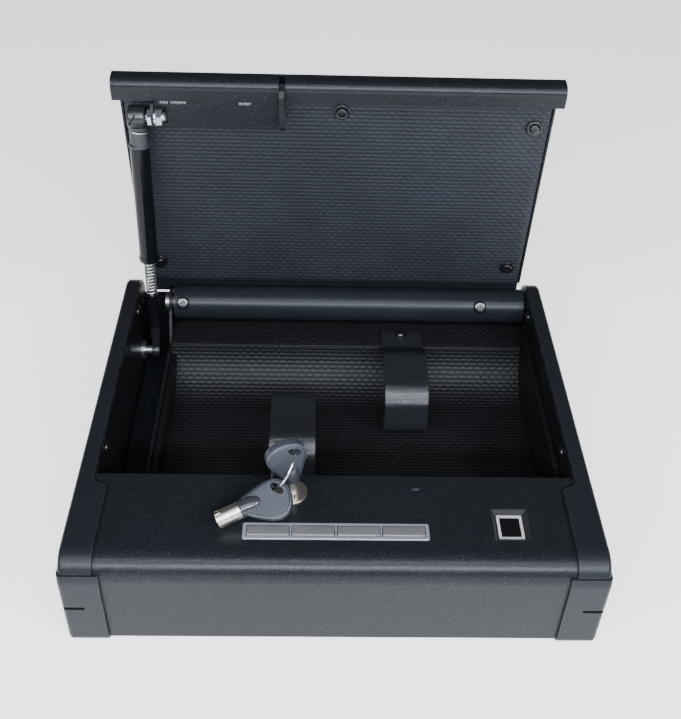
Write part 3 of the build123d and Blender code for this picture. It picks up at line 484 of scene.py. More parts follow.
@dataclass(frozen=True)
class CellSleeve(Finish):
    """Shrunk plastic sleeve of a battery cell, with a pale band at one end."""

    body: Colour = (0.020, 0.021, 0.024)
    band: Colour = (0.42, 0.30, 0.10)
    band_x: float = 0.060

    def layout(self, bench: NodeBench) -> bpy.types.Material:
        """Lay out the nodes."""
        banded = bench.split(bench.place())[0] > self.band_x
        creases = bench.noise(300.0, 3.0, 0.5, (0.2, 1.0, 1.0))
        colour = bench.blend(banded, self.body, self.band)
        return bench.finish(colour, 0.24 + creases * 0.16, creases, 0.00004)


@dataclass(frozen=True)
class WeldMetal(Finish):
    """Weld under thin coat: dark, with paler metal showing on its crests."""

    coat: Colour = (0.014, 0.015, 0.018)
    bare: Colour = (0.26, 0.26, 0.27)

    def layout(self, bench: NodeBench) -> bpy.types.Material:
        """Lay out the nodes."""
        ripple = bench.noise(900.0, 3.0, 0.6)
        crest = bench.edges(0.0007).most(0.6) * ripple.between(0.36, 0.50)
        colour = bench.blend(crest, self.coat, self.bare)
        rough = 0.42 - crest * 0.2 + ripple * 0.1
        return bench.finish(colour, rough, ripple, 0.00008, Metallic=crest * 0.5)


POWDER = PowderCoat("powder coat")
COVER = PowderCoat("cover coat", dark=(0.0078, 0.0086, 0.0105), fleck=(0.060, 0.068, 0.082),
                   peel=760.0, relief=0.00008, roughness=0.36, edge=0.0008)
INNER = PowderCoat("inner coat", dark=(0.0045, 0.0050, 0.0060), roughness=0.45, fleck_share=0.66)
BARREL = PowderCoat("barrel coat", dark=(0.0070, 0.0082, 0.0105), roughness=0.34, relief=0.00003,
                    fleck_share=0.66)
TUBE = PowderCoat("tube paint", dark=(0.0030, 0.0034, 0.0042), roughness=0.14, relief=0.000008,
                  fleck=(0.03, 0.033, 0.04), fleck_share=0.70, peel=700.0)
# The screw heads carry a pale painted highlight along their edges.
SCREW = PowderCoat("blackened screw", dark=(0.0045, 0.0045, 0.0055), roughness=0.20, relief=0.00002,
                   gloss=0.5, fleck_share=0.72, edge=0.0003, edge_highlight=(0.10, 0.105, 0.115))
FOAM_LID = EmbossedFoam("lid liner", dark=(0.0085, 0.0098, 0.0128), light=(0.026, 0.029, 0.037))
FOAM_BOX = EmbossedFoam("box liner", dark=(0.0026, 0.0027, 0.0031), light=(0.0095, 0.0100, 0.0115))
BAND = Webbing("strap band")
NICKEL = BareMetal("nickel", clean=(0.66, 0.61, 0.55), dull=(0.42, 0.38, 0.34), roughness=0.30)
ZINC = BareMetal("zinc", clean=(0.70, 0.74, 0.80), dull=(0.42, 0.47, 0.58), roughness=0.24)
STEEL = BareMetal("steel", clean=(0.55, 0.55, 0.56), dull=(0.28, 0.28, 0.29), roughness=0.28)
WIRE = BareMetal("ring wire", clean=(0.86, 0.84, 0.82), dull=(0.60, 0.56, 0.52), roughness=0.16,
                 tarnish=0.2)
BRIGHT = Moulding("bright frame", dark=(0.34, 0.33, 0.31), light=(0.58, 0.56, 0.53), roughness=0.25,
                  relief=0.00001)
SILVER = Moulding("silver keys", dark=(0.085, 0.083, 0.082), light=(0.150, 0.147, 0.145),
                  roughness=0.20, grain=1400.0, relief=0.00001, speck=0.4)
SILVER_TRIM = Moulding("silver frame", dark=(0.13, 0.138, 0.155), light=(0.24, 0.255, 0.29),
                       roughness=0.24, relief=0.00001)
BOW = Moulding("key moulding", dark=(0.024, 0.027, 0.034), light=(0.062, 0.068, 0.082),
               roughness=0.34)
LENS = Moulding("status lens", dark=(0.034, 0.037, 0.046), light=(0.060, 0.065, 0.078), roughness=0.5)
BOSS = Moulding("key boss", dark=(0.020, 0.021, 0.025), light=(0.045, 0.048, 0.056), roughness=0.22,
                relief=0.00001)
SOCKET = Moulding("socket moulding", dark=(0.006, 0.006, 0.007), light=(0.018, 0.019, 0.022),
                  roughness=0.34)
NECK = Moulding("neck moulding", dark=(0.014, 0.015, 0.018), light=(0.030, 0.032, 0.038), roughness=0.42)
BLACK = Moulding("black plastic", dark=(0.010, 0.010, 0.011), light=(0.024, 0.025, 0.028),
                 roughness=0.40)
GLASS = DarkGlass("sensor glass")
BOARD = CircuitBoard("circuit board")
CELL = CellSleeve("cell sleeve")
WELD = WeldMetal("weld metal")


def dress(piece: bpy.types.Object, finish: Finish) -> None:
    """Give a piece one finish all over."""
    piece.data.materials.clear()
    piece.data.materials.append(finish.material())


NODE_FINISHES: Dict[Finish, Tuple[str, ...]] = {
    POWDER: ("base_plate", "rear_wall", "front_panel", "lid_panel", "lid_lip", "striker_bracket"),
    COVER: ("side_rail_right", "side_rail_left", "side_skirt_right", "side_skirt_left"),
    INNER: ("side_wall_right", "side_wall_left", "rear_cradle", "divider", "mechanism_wall"),
    BARREL: ("hinge_barrel",),
    TUBE: ("strut_tube", "strut_sleeve"),
    SCREW: ("latch_guide",),
    SILVER_TRIM: ("keypad_frame",),
    BRIGHT: ("fingerprint_frame",),
    BLACK: ("fingerprint_bezel", "battery_box"),
    LENS: ("status_lens",),
    GLASS: ("fingerprint_sensor",),
    NICKEL: ("lock_body", "lock_plug", "key_barrel", "spare_key_barrel", "hinge_pins"),
    STEEL: ("strut_stud_upper", "strut_stud_lower", "strut_rod", "strut_spring", "latch_motor"),
    ZINC: ("strut_nuts", "lock_nut", "lock_cam", "latch_bolt"),
    WIRE: ("key_ring",),
    SOCKET: ("strut_end_fitting",),
    BOARD: ("control_board",),
    CELL: ("batteries",),
}


# ------------------------------------------------------------------------------ modelling
class Start(Enum):
    """Primitive that a piece is shaped from."""

    BLOCK = "cube"
    DISC = "circle"
    BAR = "cylinder"
    BALL = "uv_sphere"
    SHEET = "grid"
    RING = "torus"


Test = Callable[[Vector, Vector], bool]


class Workpiece:
    """A mesh shaped in edit mode by operators on faces and edges chosen by their place."""

    def __init__(self, name: str, start: Start, centre: Point, size: Point,
                 turn: Point = (0.0, 0.0, 0.0), sides: int = 32, rows: int = 16) -> None:
        """Add a primitive at its size and place, in millimetres.

        Args:
            name: the piece's name.
            start: the primitive.
            centre: its centre in the maker's frame.
            size: its full size along its own axes.
            turn: its rotation in degrees.
            sides: sides or columns.
            rows: rings or rows.
        """
        bpy.ops.object.select_all(action="DESELECT")
        if start is Start.BLOCK:
            bpy.ops.mesh.primitive_cube_add(size=1.0)
        elif start is Start.DISC:
            bpy.ops.mesh.primitive_circle_add(vertices=sides, radius=0.5, fill_type="NGON")
        elif start is Start.BAR:
            bpy.ops.mesh.primitive_cylinder_add(vertices=sides, radius=0.5, depth=1.0)
        elif start is Start.BALL:
            bpy.ops.mesh.primitive_uv_sphere_add(segments=sides, ring_count=rows, radius=0.5)
        elif start is Start.SHEET:
            bpy.ops.mesh.primitive_grid_add(x_subdivisions=sides, y_subdivisions=rows, size=1.0)
        else:
            bpy.ops.mesh.primitive_torus_add(major_segments=sides, minor_segments=rows,
                                             major_radius=size[0] / 2, minor_radius=size[1])
        self.obj = bpy.context.object
        self.obj.name = name
        self.obj.scale = (MM, MM, MM) if start is Start.RING else Vector(size) * MM
        self.obj.rotation_euler = [math.radians(a) for a in turn]
        self.obj.location = to_metres(*centre)
        self.settle()

    def activate(self) -> None:
        """Leave edit mode and make this the one selected, active object."""
        if self.obj.mode == "EDIT":
            bpy.ops.object.mode_set(mode="OBJECT")
        bpy.ops.object.select_all(action="DESELECT")
        self.obj.select_set(True)
        bpy.context.view_layer.objects.active = self.obj

    def settle(self) -> None:
        """Move the object's place, turn and size into its mesh."""
        self.activate()
        bpy.ops.object.transform_apply(location=True, rotation=True, scale=True)

    def carry(self, matrix: Matrix) -> "Workpiece":
        """Move the whole piece.

        Args:
            matrix: the move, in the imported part's frame.

        Returns:
            The piece.
        """
        self.obj.matrix_world = matrix
        self.settle()
        return self

    def pick(self, faces: Optional[Test] = None, edges: Optional[Test] = None) -> None:
        """Select faces or edges in edit mode.

        Args:
            faces: test on a face's centre, in the maker's frame, and its normal.
            edges: test on an edge's middle and direction.
        """
        bpy.context.view_layer.objects.active = self.obj
        bpy.ops.object.mode_set(mode="EDIT")
        bpy.ops.mesh.select_mode(type="FACE" if faces else "EDGE")
        bpy.ops.mesh.select_all(action="DESELECT")
        mesh = bmesh.from_edit_mesh(self.obj.data)
        mesh.normal_update()
        for face in mesh.faces if faces else ():
            face.select_set(faces(to_maker(face.calc_center_median()), face.normal))
        for edge in mesh.edges if edges else ():
            ends = [to_maker(v.co) for v in edge.verts]
            edge.select_set(edges((ends[0] + ends[1]) / 2, (ends[1] - ends[0]).normalized()))
        bmesh.update_edit_mesh(self.obj.data)

    def all_faces(self) -> None:
        """Select everything."""
        self.pick(faces=lambda centre, normal: True)

    def extrude(self, x: float, y: float, z: float) -> "Workpiece":
        """Pull the selection out by millimetres."""
        bpy.ops.mesh.extrude_region_move(TRANSFORM_OT_translate={"value": (x * MM, y * MM, z * MM)})
        return self

    def inset(self, width: float, depth: float = 0.0, even: bool = True) -> "Workpiece":
        """Inset the selected faces by millimetres, evenly or without long mitres."""
        bpy.ops.mesh.inset(thickness=width * MM, depth=depth * MM, use_even_offset=even)
        return self

    def bevel(self, width: float, segments: int = 3, profile: float = 0.5) -> "Workpiece":
        """Round the selected edges by millimetres."""
        bpy.ops.mesh.bevel(offset=width * MM, segments=segments, profile=profile, affect="EDGES",
                           clamp_overlap=True)
        return self

    def subdivide(self, cuts: int) -> "Workpiece":
        """Divide the selection."""
        bpy.ops.mesh.subdivide(number_cuts=cuts)
        return self

    def resize(self, x: float, y: float, z: float, pivot: Point) -> "Workpiece":
        """Scale the selection about a point of the maker's frame."""
        bpy.ops.transform.resize(value=(x, y, z), center_override=to_metres(*pivot))
        return self

    def spin(self, steps: int, degrees: float, centre: Point, axis: Point) -> "Workpiece":
        """Sweep the selection round an axis through a point of the maker's frame."""
        bpy.ops.mesh.spin(steps=steps, angle=-math.radians(degrees), center=to_metres(*centre), axis=axis)
        return self

    def bisect(self, point: Point, normal: Point, fill: bool = True) -> "Workpiece":
        """Cut the whole piece with a plane and drop what lies on the normal's side.

        Args:
            point: a point of the plane, in the maker's frame.
            normal: the plane's normal.
            fill: whether the cut is closed with a face.

        Returns:
            The piece.
        """
        self.all_faces()
        bpy.ops.mesh.bisect(plane_co=to_metres(*point), plane_no=normal, use_fill=fill, clear_outer=True)
        return self

    def done(self) -> "Workpiece":
        """Merge doubles, face everything outwards and leave edit mode."""
        self.all_faces()
        bpy.ops.mesh.remove_doubles(threshold=WELD_GAP)
        bpy.ops.mesh.normals_make_consistent(inside=False)
        bpy.ops.object.mode_set(mode="OBJECT")
        return self

    def modify(self, kind: str, **settings: object) -> "Workpiece":
        """Add a modifier and apply it.

        Args:
            kind: the modifier's type.
            settings: its settings.

        Returns:
            The piece.
        """
        self.activate()
        modifier = self.obj.modifiers.new(kind.title(), kind)
        for key, value in settings.items():
            setattr(modifier, key, value)
        bpy.ops.object.modifier_apply(modifier=modifier.name)
        return self

    def thicken(self, depth: float, rounding: float, segments: int, angle: float,
                **shell: object) -> "Workpiece":
        """Make a sheet solid and round its rim.

        Args:
            depth: thickness in millimetres.
            rounding: width of the rounding in millimetres.
            segments: faces across the rounding.
            angle: least angle of an edge that is rounded, in degrees.
            shell: further settings of the Solidify modifier.

        Returns:
            The piece.
        """
        self.modify("SOLIDIFY", thickness=depth * MM, **shell)
        return self.modify("BEVEL", width=rounding * MM, segments=segments, limit_method="ANGLE",
                           angle_limit=math.radians(angle))

    def cut(self, tool: "Workpiece") -> "Workpiece":
        """Take another piece's volume away and throw that piece out.

        Args:
            tool: the piece that cuts.

        Returns:
            The piece that is left.
        """
        self.modify("BOOLEAN", operation="DIFFERENCE", object=tool.obj, solver="EXACT")
        bpy.data.objects.remove(tool.obj)
        return self

    def smooth(self, angle: float = 35.0) -> "Workpiece":
        """Shade smooth except across angles over so many degrees."""
        self.activate()
        bpy.ops.object.shade_smooth_by_angle(angle=math.radians(angle))
        return self

    def move_points(self, shift: Callable[[Vector], Vector]) -> "Workpiece":
        """Move every vertex by a rule.

        Args:
            shift: from a vertex's place to its new one, both in the maker's frame.

        Returns:
            The piece.
        """
        self.activate()
        for vertex in self.obj.data.vertices:
            vertex.co = to_metres(*(shift(to_maker(vertex.co))))
        self.obj.data.update()
        return self

    def map_run(self, rule: Callable[[Vector], Flat]) -> "Workpiece":
        """Give the piece its own map, in metres.

        Args:
            rule: from a place in the maker's frame to millimetres across and along.

        Returns:
            The piece.
        """
        self.activate()
        mesh = self.obj.data
        layer = mesh.uv_layers.get(MAP_NAME) or mesh.uv_layers.new(name=MAP_NAME)
        for loop in mesh.loops:
            across, along = rule(to_maker(mesh.vertices[loop.vertex_index].co))
            layer.data[loop.index].uv = (across * MM, along * MM)
        return self

    def copy(self, name: str) -> "Workpiece":
        """Make a twin with its own mesh.

        Args:
            name: the twin's name.

        Returns:
            The twin.
        """
        twin = object.__new__(Workpiece)
        twin.obj = self.obj.copy()
        twin.obj.data = self.obj.data.copy()
        twin.obj.name = name
        bpy.context.collection.objects.link(twin.obj)
        return twin

    def join(self, *others: "Workpiece") -> "Workpiece":
        """Make one piece of several.

        Args:
            others: the pieces that join this one.

        Returns:
            The joined piece.
        """
        self.activate()
        for other in others:
            other.obj.select_set(True)
        bpy.ops.object.join()
        return self

    def fit(self, finish: Finish, body: str, slot: str, *replaced: str) -> bpy.types.Object:
        """Dress the piece, seat it on its body and report it.

        Args:
            finish: its finish.
            body: the body that it rides.
            slot: the record's material slot; not used.
            replaced: CAD nodes that it stands for.

        Returns:
            The finished object.
        """
        self.activate()
        dress(self.obj, finish)
        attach(self.obj, body)
        if replaced:
            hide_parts(*replaced)
        LOG.info("%s rides %s in %s", self.obj.name, body, finish.name)
        return self.obj


# ------------------------------------------------------------------------------ sub-assemblies
@dataclass
class LidFrame:
    """Where the lid hinges, how far it stands open, and where its liner is screwed on."""

    hinge_y: float = 246.0
    hinge_z: float = 50.0
    open_angle: float = 84.0
    liner_z: float = 56.4
    screws: Tuple[Flat, ...] = ((1.7, 93.0), (120.3, 102.0), (120.1, 215.0), (-120.2, 214.5))

    def opened(self) -> Matrix:
        """Matrix from the closed lid to the open rest position."""
        hinge = Matrix.Translation(to_metres(0, self.hinge_y, self.hinge_z))
        return hinge @ Matrix.Rotation(math.radians(-self.open_angle), 4, "X") @ hinge.inverted()


@dataclass
class CrossHeadScrew:
    """Pan-head screw with a cross recess, modelled once on the origin and copied to its places."""

    radius: float
    height: float
    crown: float = 0.62
    foot: float = 0.12
    slot_length: float = 1.24
    slot_width: float = 0.24
    slot_taper: float = 0.45

    def blank(self, name: str) -> Workpiece:
        """Model one screw head that looks up +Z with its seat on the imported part's origin.

        Args:
            name: the piece's name.

        Returns:
            The head.
        """
        head = Workpiece(name, Start.BAR, (0, HALF_DEPTH, self.height / 2),
                         (2 * self.radius, 2 * self.radius, self.height))
        head.pick(edges=lambda mid, way: mid.z > self.height * 0.99)
        head.bevel(self.height * self.crown, 5)
        head.pick(edges=lambda mid, way: mid.z < 0.01)
        head.bevel(self.height * self.foot, 2)
        head.done()
        for angle in (0, 90):
            slot = Workpiece("slot", Start.BLOCK, (0, HALF_DEPTH, self.height),
                             (self.radius * self.slot_length, self.radius * self.slot_width,
                              self.height * 1.1), (0, 0, angle))
            slot.pick(faces=lambda c, n: n.z < -0.9)
            slot.resize(self.slot_taper, self.slot_taper, 1.0, (0, HALF_DEPTH, 0))
            slot.done()
            head.cut(slot)
        return head.smooth(40)


def aim(place: Vector, direction: Vector) -> Matrix:
    """Matrix that seats a piece modelled on the origin and looking up +Z."""
    return Matrix.Translation(place) @ direction.to_track_quat("Z", "Y").to_matrix().to_4x4()


@dataclass
class BoxFoam:
    """Liner of the box: one sheet that sweeps up the back, and a sheet on each side."""

    left: float = -113.2
    right: float = 135.0
    front: float = 66.2
    rear: float = 216.0
    floor: float = 6.7
    top: float = 35.9
    ledge: float = 28.5
    sweep: float = 30.0
    thickness: float = 2.2
    side_thickness: float = 4.0
    left_top: float = 28.0
    right_top: float = 47.0
    rim: float = 0.9
    wave: float = 0.22

    def run_along(self, point: Vector) -> float:
        """Distance along the sheet's face, over the sweep and up the back.

        Args:
            point: a place on the sheet, in the maker's frame.

        Returns:
            Millimetres from the front edge.
        """
        bend_y, bend_z = self.rear - self.sweep, self.floor + self.sweep
        if point.y <= bend_y:
            return point.y - self.front
        start = bend_y - self.front
        if point.y > self.rear + 0.1 and point.z > self.top - 0.9:
            return start + self.climb() + point.y - self.rear
        return start + self.sweep * math.atan2(point.y - bend_y, bend_z - point.z)

    def climb(self) -> float:
        """Length of the sweep from the floor to the ledge."""
        return self.sweep * math.acos((self.floor + self.sweep - self.top) / self.sweep)

    def ripple(self, point: Vector) -> Vector:
        """Soft unevenness of the glued sheet.

        Args:
            point: a place on the even sheet, in the maker's frame.

        Returns:
            Where it comes to lie.
        """
        calm = 0.3 if point.y > self.rear - 2.0 else 1.0
        wave = self.wave * calm * math.sin(point.x * 0.047 + 0.7) * math.sin(point.y * 0.061 + 0.4)
        return Vector((point.x, point.y - wave * 0.5, point.z + wave))

    def build_floor(self) -> None:
        """Model the floor and back sheet."""
        bend_y = self.rear - self.sweep
        mid_x, mid_y = (self.left + self.right) / 2, (self.front + bend_y) / 2
        width, strips = self.right - self.left - 0.4, 6
        sheet = Workpiece("foam_floor", Start.SHEET, (mid_x, mid_y, self.floor),
                          (width, bend_y - self.front, 1.0), sides=60, rows=28)
        sheet.pick(edges=lambda mid, way: mid.y > bend_y - 0.01 and abs(way.x) > 0.9)
        arc = math.degrees(self.climb() / self.sweep)
        sheet.spin(14, arc, (0, bend_y, self.floor + self.sweep), (1, 0, 0))
        for _ in range(strips):
            sheet.extrude(0, self.ledge / strips, 0)
        sheet.all_faces()
        bpy.ops.mesh.remove_doubles(threshold=SEAM_GAP)
        bpy.ops.object.mode_set(mode="OBJECT")
        sheet.move_points(self.ripple)
        sheet.map_run(lambda p: (p.x, self.run_along(p)))
        self.face_up(sheet)
        sheet.thicken(self.thickness, 0.7, 3, 50, offset=-1.0, use_even_offset=False)
        piece = sheet.smooth(60).fit(FOAM_BOX, "housing", "foam", "floor_liner")

    def face_up(self, sheet: Workpiece) -> None:
        """Turn the sheet's normals to its seen side."""
        total = sum(p.normal.z * p.area for p in sheet.obj.data.polygons)
        if total < 0:
            sheet.all_faces()
            bpy.ops.mesh.flip_normals()
            bpy.ops.object.mode_set(mode="OBJECT")

    def build_side(self, name: str, x0: float, x1: float, top: float, node: str) -> None:
        """Model one side sheet.

        Args:
            name: the piece's name.
            x0: its left face.
            x1: its right face.
            top: its upper edge.
            node: the CAD node it stands for.
        """
        middle = ((x0 + x1) / 2, (self.front + self.rear) / 2, (self.floor + top) / 2)
        size = (x1 - x0 - 0.2, self.rear - self.front - 0.4, top - self.floor)
        sheet = Workpiece(name, Start.BLOCK, middle, size)
        sheet.pick(edges=lambda mid, way: abs(way.x) > 0.9 and mid.y > self.rear - 1
                   and mid.z < self.floor + 1)
        sheet.bevel(min(self.sweep, top - self.floor - 1.0), 12)
        sheet.pick(edges=lambda mid, way: mid.z > top - 0.1 or abs(mid.y - self.front) < 0.3)
        sheet.bevel(self.rim, 3)
        sheet.done()
        sheet.map_run(lambda p: (p.y, p.z))
        piece = sheet.smooth(50).fit(FOAM_BOX, "housing", "foam", node)

    def build(self) -> None:
        """Model the whole liner."""
        self.build_floor()
        self.build_side("foam_left", self.left, self.left + self.side_thickness, self.left_top,
                        "left_liner")
        self.build_side("foam_right", self.right - self.side_thickness, self.right, self.right_top,
                        "right_liner")


@dataclass
class LidFoam:
    """Foam pad in the lid, pulled in at its edges and under its four washers."""

    lid: LidFrame
    half: float = 130.0
    near_y: float = 85.8
    far_y: float = 232.0
    thickness: float = 4.4
    rim: float = 4.0
    rim_sink: float = 1.1
    pull: float = 0.7
    pull_reach: float = 5.0
    swell: float = 0.12

    def shape(self, point: Vector) -> Vector:
        """Pull the seen face in at its rim and round each washer.

        Args:
            point: a place on the flat pad, in the maker's frame with the lid shut.

        Returns:
            Where it comes to lie.
        """
        rim = min(self.half - abs(point.x), point.y - self.near_y, self.far_y - point.y)
        sink = self.rim_sink * max(0.0, 1.0 - rim / self.rim) ** 2
        for x, y in self.lid.screws:
            gap = max(0.0, math.hypot(point.x - x, point.y - y) - self.pull_reach)
            sink = max(sink, self.pull * math.exp(-(gap / self.pull_reach) ** 2) - self.pull / 2)
        swell = self.swell * math.sin(point.x * 0.05) * math.sin(point.y * 0.07)
        return Vector((point.x, point.y, point.z + sink + swell))

    def build(self) -> None:
        """Model the pad."""
        pad = Workpiece("foam_lid", Start.SHEET, (0.0, (self.near_y + self.far_y) / 2, self.lid.liner_z),
                        (2 * self.half, self.far_y - self.near_y, 1.0), sides=90, rows=50)
        pad.all_faces()
        bpy.ops.mesh.flip_normals()
        pad.move_points(self.shape)
        pad.map_run(lambda p: (p.x, p.y))
        pad.thicken(self.thickness, 0.8, 3, 50, offset=-1.0, use_even_offset=False)
        pad.carry(self.lid.opened())
        piece = pad.smooth(60).fit(FOAM_LID, "lid", "foam", "lid_liner")


@dataclass
class Strap:
    """Springy band on a rounded route given in (y, z)."""

    name: str
    node: str
    middle_x: float
    route: Sequence[Flat]
    radii: Sequence[float]
    width: float = 28.8
    thickness: float = 1.4
    columns: int = 12
    run_step: float = 4.0
    arc_step: float = 7.0
    track: List[Tuple[Vector, float]] = field(default_factory=list)

    def corners(self) -> List[Tuple[Vector, Vector, float, Vector]]:
        """Rounded corners of the route.

        Returns:
            For each corner its start, centre, signed turn in degrees and end.
        """
        points = [Vector((0.0, y, z)) for y, z in self.route]
        found = []
        for before, corner, after, radius in zip(points, points[1:], points[2:], self.radii):
            into, out = (corner - before).normalized(), (after - corner).normalized()
            turn = math.atan2(into.y * out.z - into.z * out.y, into.dot(out))
            back = radius * math.tan(abs(turn) / 2)
            start, end = corner - into * back, corner + out * back
            side = Vector((0.0, -into.z, into.y)) * math.copysign(radius, turn)
            found.append((start, start + side, math.degrees(turn), end))
        return found

    def build(self) -> float:
        """Model the band.

        Returns:
            Its length in millimetres.
        """
        y0, z0 = self.route[0]
        corners = self.corners()
        first = corners[0][0] - Vector((0.0, y0, z0))
        band = Workpiece(self.name, Start.SHEET, (self.middle_x, y0, z0), (self.width, 1.0, 1.0),
                         sides=self.columns, rows=1)
        band.pick(edges=lambda mid, way: abs(way.x) > 0.9 and mid.y > y0)
        bpy.ops.mesh.select_all(action="INVERT")
        bpy.ops.mesh.delete(type="EDGE")
        band.pick(edges=lambda mid, way: True)
        bpy.ops.transform.translate(value=(0, -0.5 * MM, 0))
        length, here = 0.0, Vector((0.0, y0, z0))
        stops = corners + [(Vector((0.0, *self.route[-1])), None, 0.0, None)]
        self.track = [(here.copy(), 0.0)]
        for start, centre, turn, end in stops:
            step = start - here
            if step.length > 0.01:
                parts = max(1, round(step.length / self.run_step))
                for _ in range(parts):
                    band.extrude(0, step.y / parts, step.z / parts)
            length += step.length
            self.track.append((start.copy(), length))
            if centre is None:
                break
            arc = (start - centre).length * abs(math.radians(turn))
            steps = max(8, round(abs(turn) / self.arc_step))
            band.spin(steps, turn, (self.middle_x, centre.y, centre.z), (1, 0, 0))
            arm = start - centre
            for k in range(1, steps + 1):
                a = math.radians(turn) * k / steps
                spoke = Vector((0.0, arm.y * math.cos(a) - arm.z * math.sin(a),
                                arm.y * math.sin(a) + arm.z * math.cos(a)))
                self.track.append((centre + spoke, length + arc * k / steps))
            length += arc
            here = end
        band.done()
        band.map_run(lambda p: (p.x, self.along(p)))
        band.thicken(self.thickness, 0.4, 2, 60, offset=0.0)
        piece = band.smooth(60).fit(BAND, "housing", "strap", self.node)
        return length

    def along(self, point: Vector) -> float:
        """Distance along the band.

        Args:
            point: a place on the band, in the maker's frame.

        Returns:
            Millimetres from the band's start to the nearest point of its route.
        """
        spot = Vector((0.0, point.y, point.z))
        best = None
        for (a, sa), (b, sb) in zip(self.track, self.track[1:]):
            span = b - a
            if span.length < 1e-6:
                continue
            share = min(1.0, max(0.0, (spot - a).dot(span) / span.length_squared))
            gap = (a + span * share - spot).length
            if best is None or gap < best[0] - 1e-6:
                best = (gap, sa + (sb - sa) * share)
        return best[1]


@dataclass
class Rivet:
    """Domed rivet with a flat brim that holds the right strap to the ledge."""

    centre: Point = (47.5, 228.0, 37.8)
    brim_r: float = 4.6
    brim: float = 0.9
    lip: float = 0.5
    dome_r: float = 3.1
    tiers: Tuple[Flat, ...] = ((0.9, 0.82), (0.6, 0.6))

    def build(self) -> None:
        """Model the rivet, looking up."""
        x, y, z = self.centre
        rivet = Workpiece("strap_rivet", Start.BAR, self.centre,
                          (2 * self.brim_r, 2 * self.brim_r, self.brim))
        rivet.pick(faces=lambda c, n: n.z > 0.9)
        rivet.inset(self.lip).inset(self.brim_r - self.dome_r - self.lip, -0.25)
        for height, taper in self.tiers:
            rivet.extrude(0, 0, height).resize(taper, taper, 1.0, self.centre)
        rivet.pick(edges=lambda mid, way: mid.z > self.centre[2] + 0.4 and abs(way.z) < 0.5)
        rivet.bevel(0.18, 2)
        rivet.done().smooth(40).fit(SCREW, "housing", "screw_black")


@dataclass
class KeypadBars:
    """Four rounded silver bars of the keypad, modelled once and copied."""

    left: float = -50.3
    right: float = 50.0
    front: float = 22.9
    rear: float = 30.3
    foot_z: float = 59.3
    top_z: float = 64.9
    count: int = 4
    border: float = 1.5
    gap: float = 0.75
    crown: float = 1.5
    end_rounding: float = 0.45

    def build(self) -> None:
        """Model the bars."""
        pitch = (self.right - self.left - 2 * self.border) / self.count
        x0 = self.left + self.border
        middle = (x0 + pitch / 2, (self.front + self.rear) / 2, (self.foot_z + self.top_z) / 2)
        bar = Workpiece("key_bar", Start.BLOCK, middle,
                        (pitch - 2 * self.gap, self.rear - self.front, self.top_z - self.foot_z))
        bar.pick(edges=lambda mid, way: mid.z > self.top_z - 0.1 and abs(way.x) > 0.9)
        bar.bevel(self.crown, 6)
        bar.pick(edges=lambda mid, way: abs(mid.x - middle[0]) > pitch / 2 - self.gap - 0.1
                 and mid.z > self.top_z - 3)
        bar.bevel(self.end_rounding, 3)
        bar.done().smooth(35)
        for index in range(self.count):
            name = f"keypad_bar_{index + 1}"
            twin = bar.copy(name)
            twin.carry(Matrix.Translation((pitch * index * MM, 0, 0)))
            twin.fit(SILVER, f"button_{index + 1}", "silver_key", f"key_button_{index + 1}")
        bpy.data.objects.remove(bar.obj)


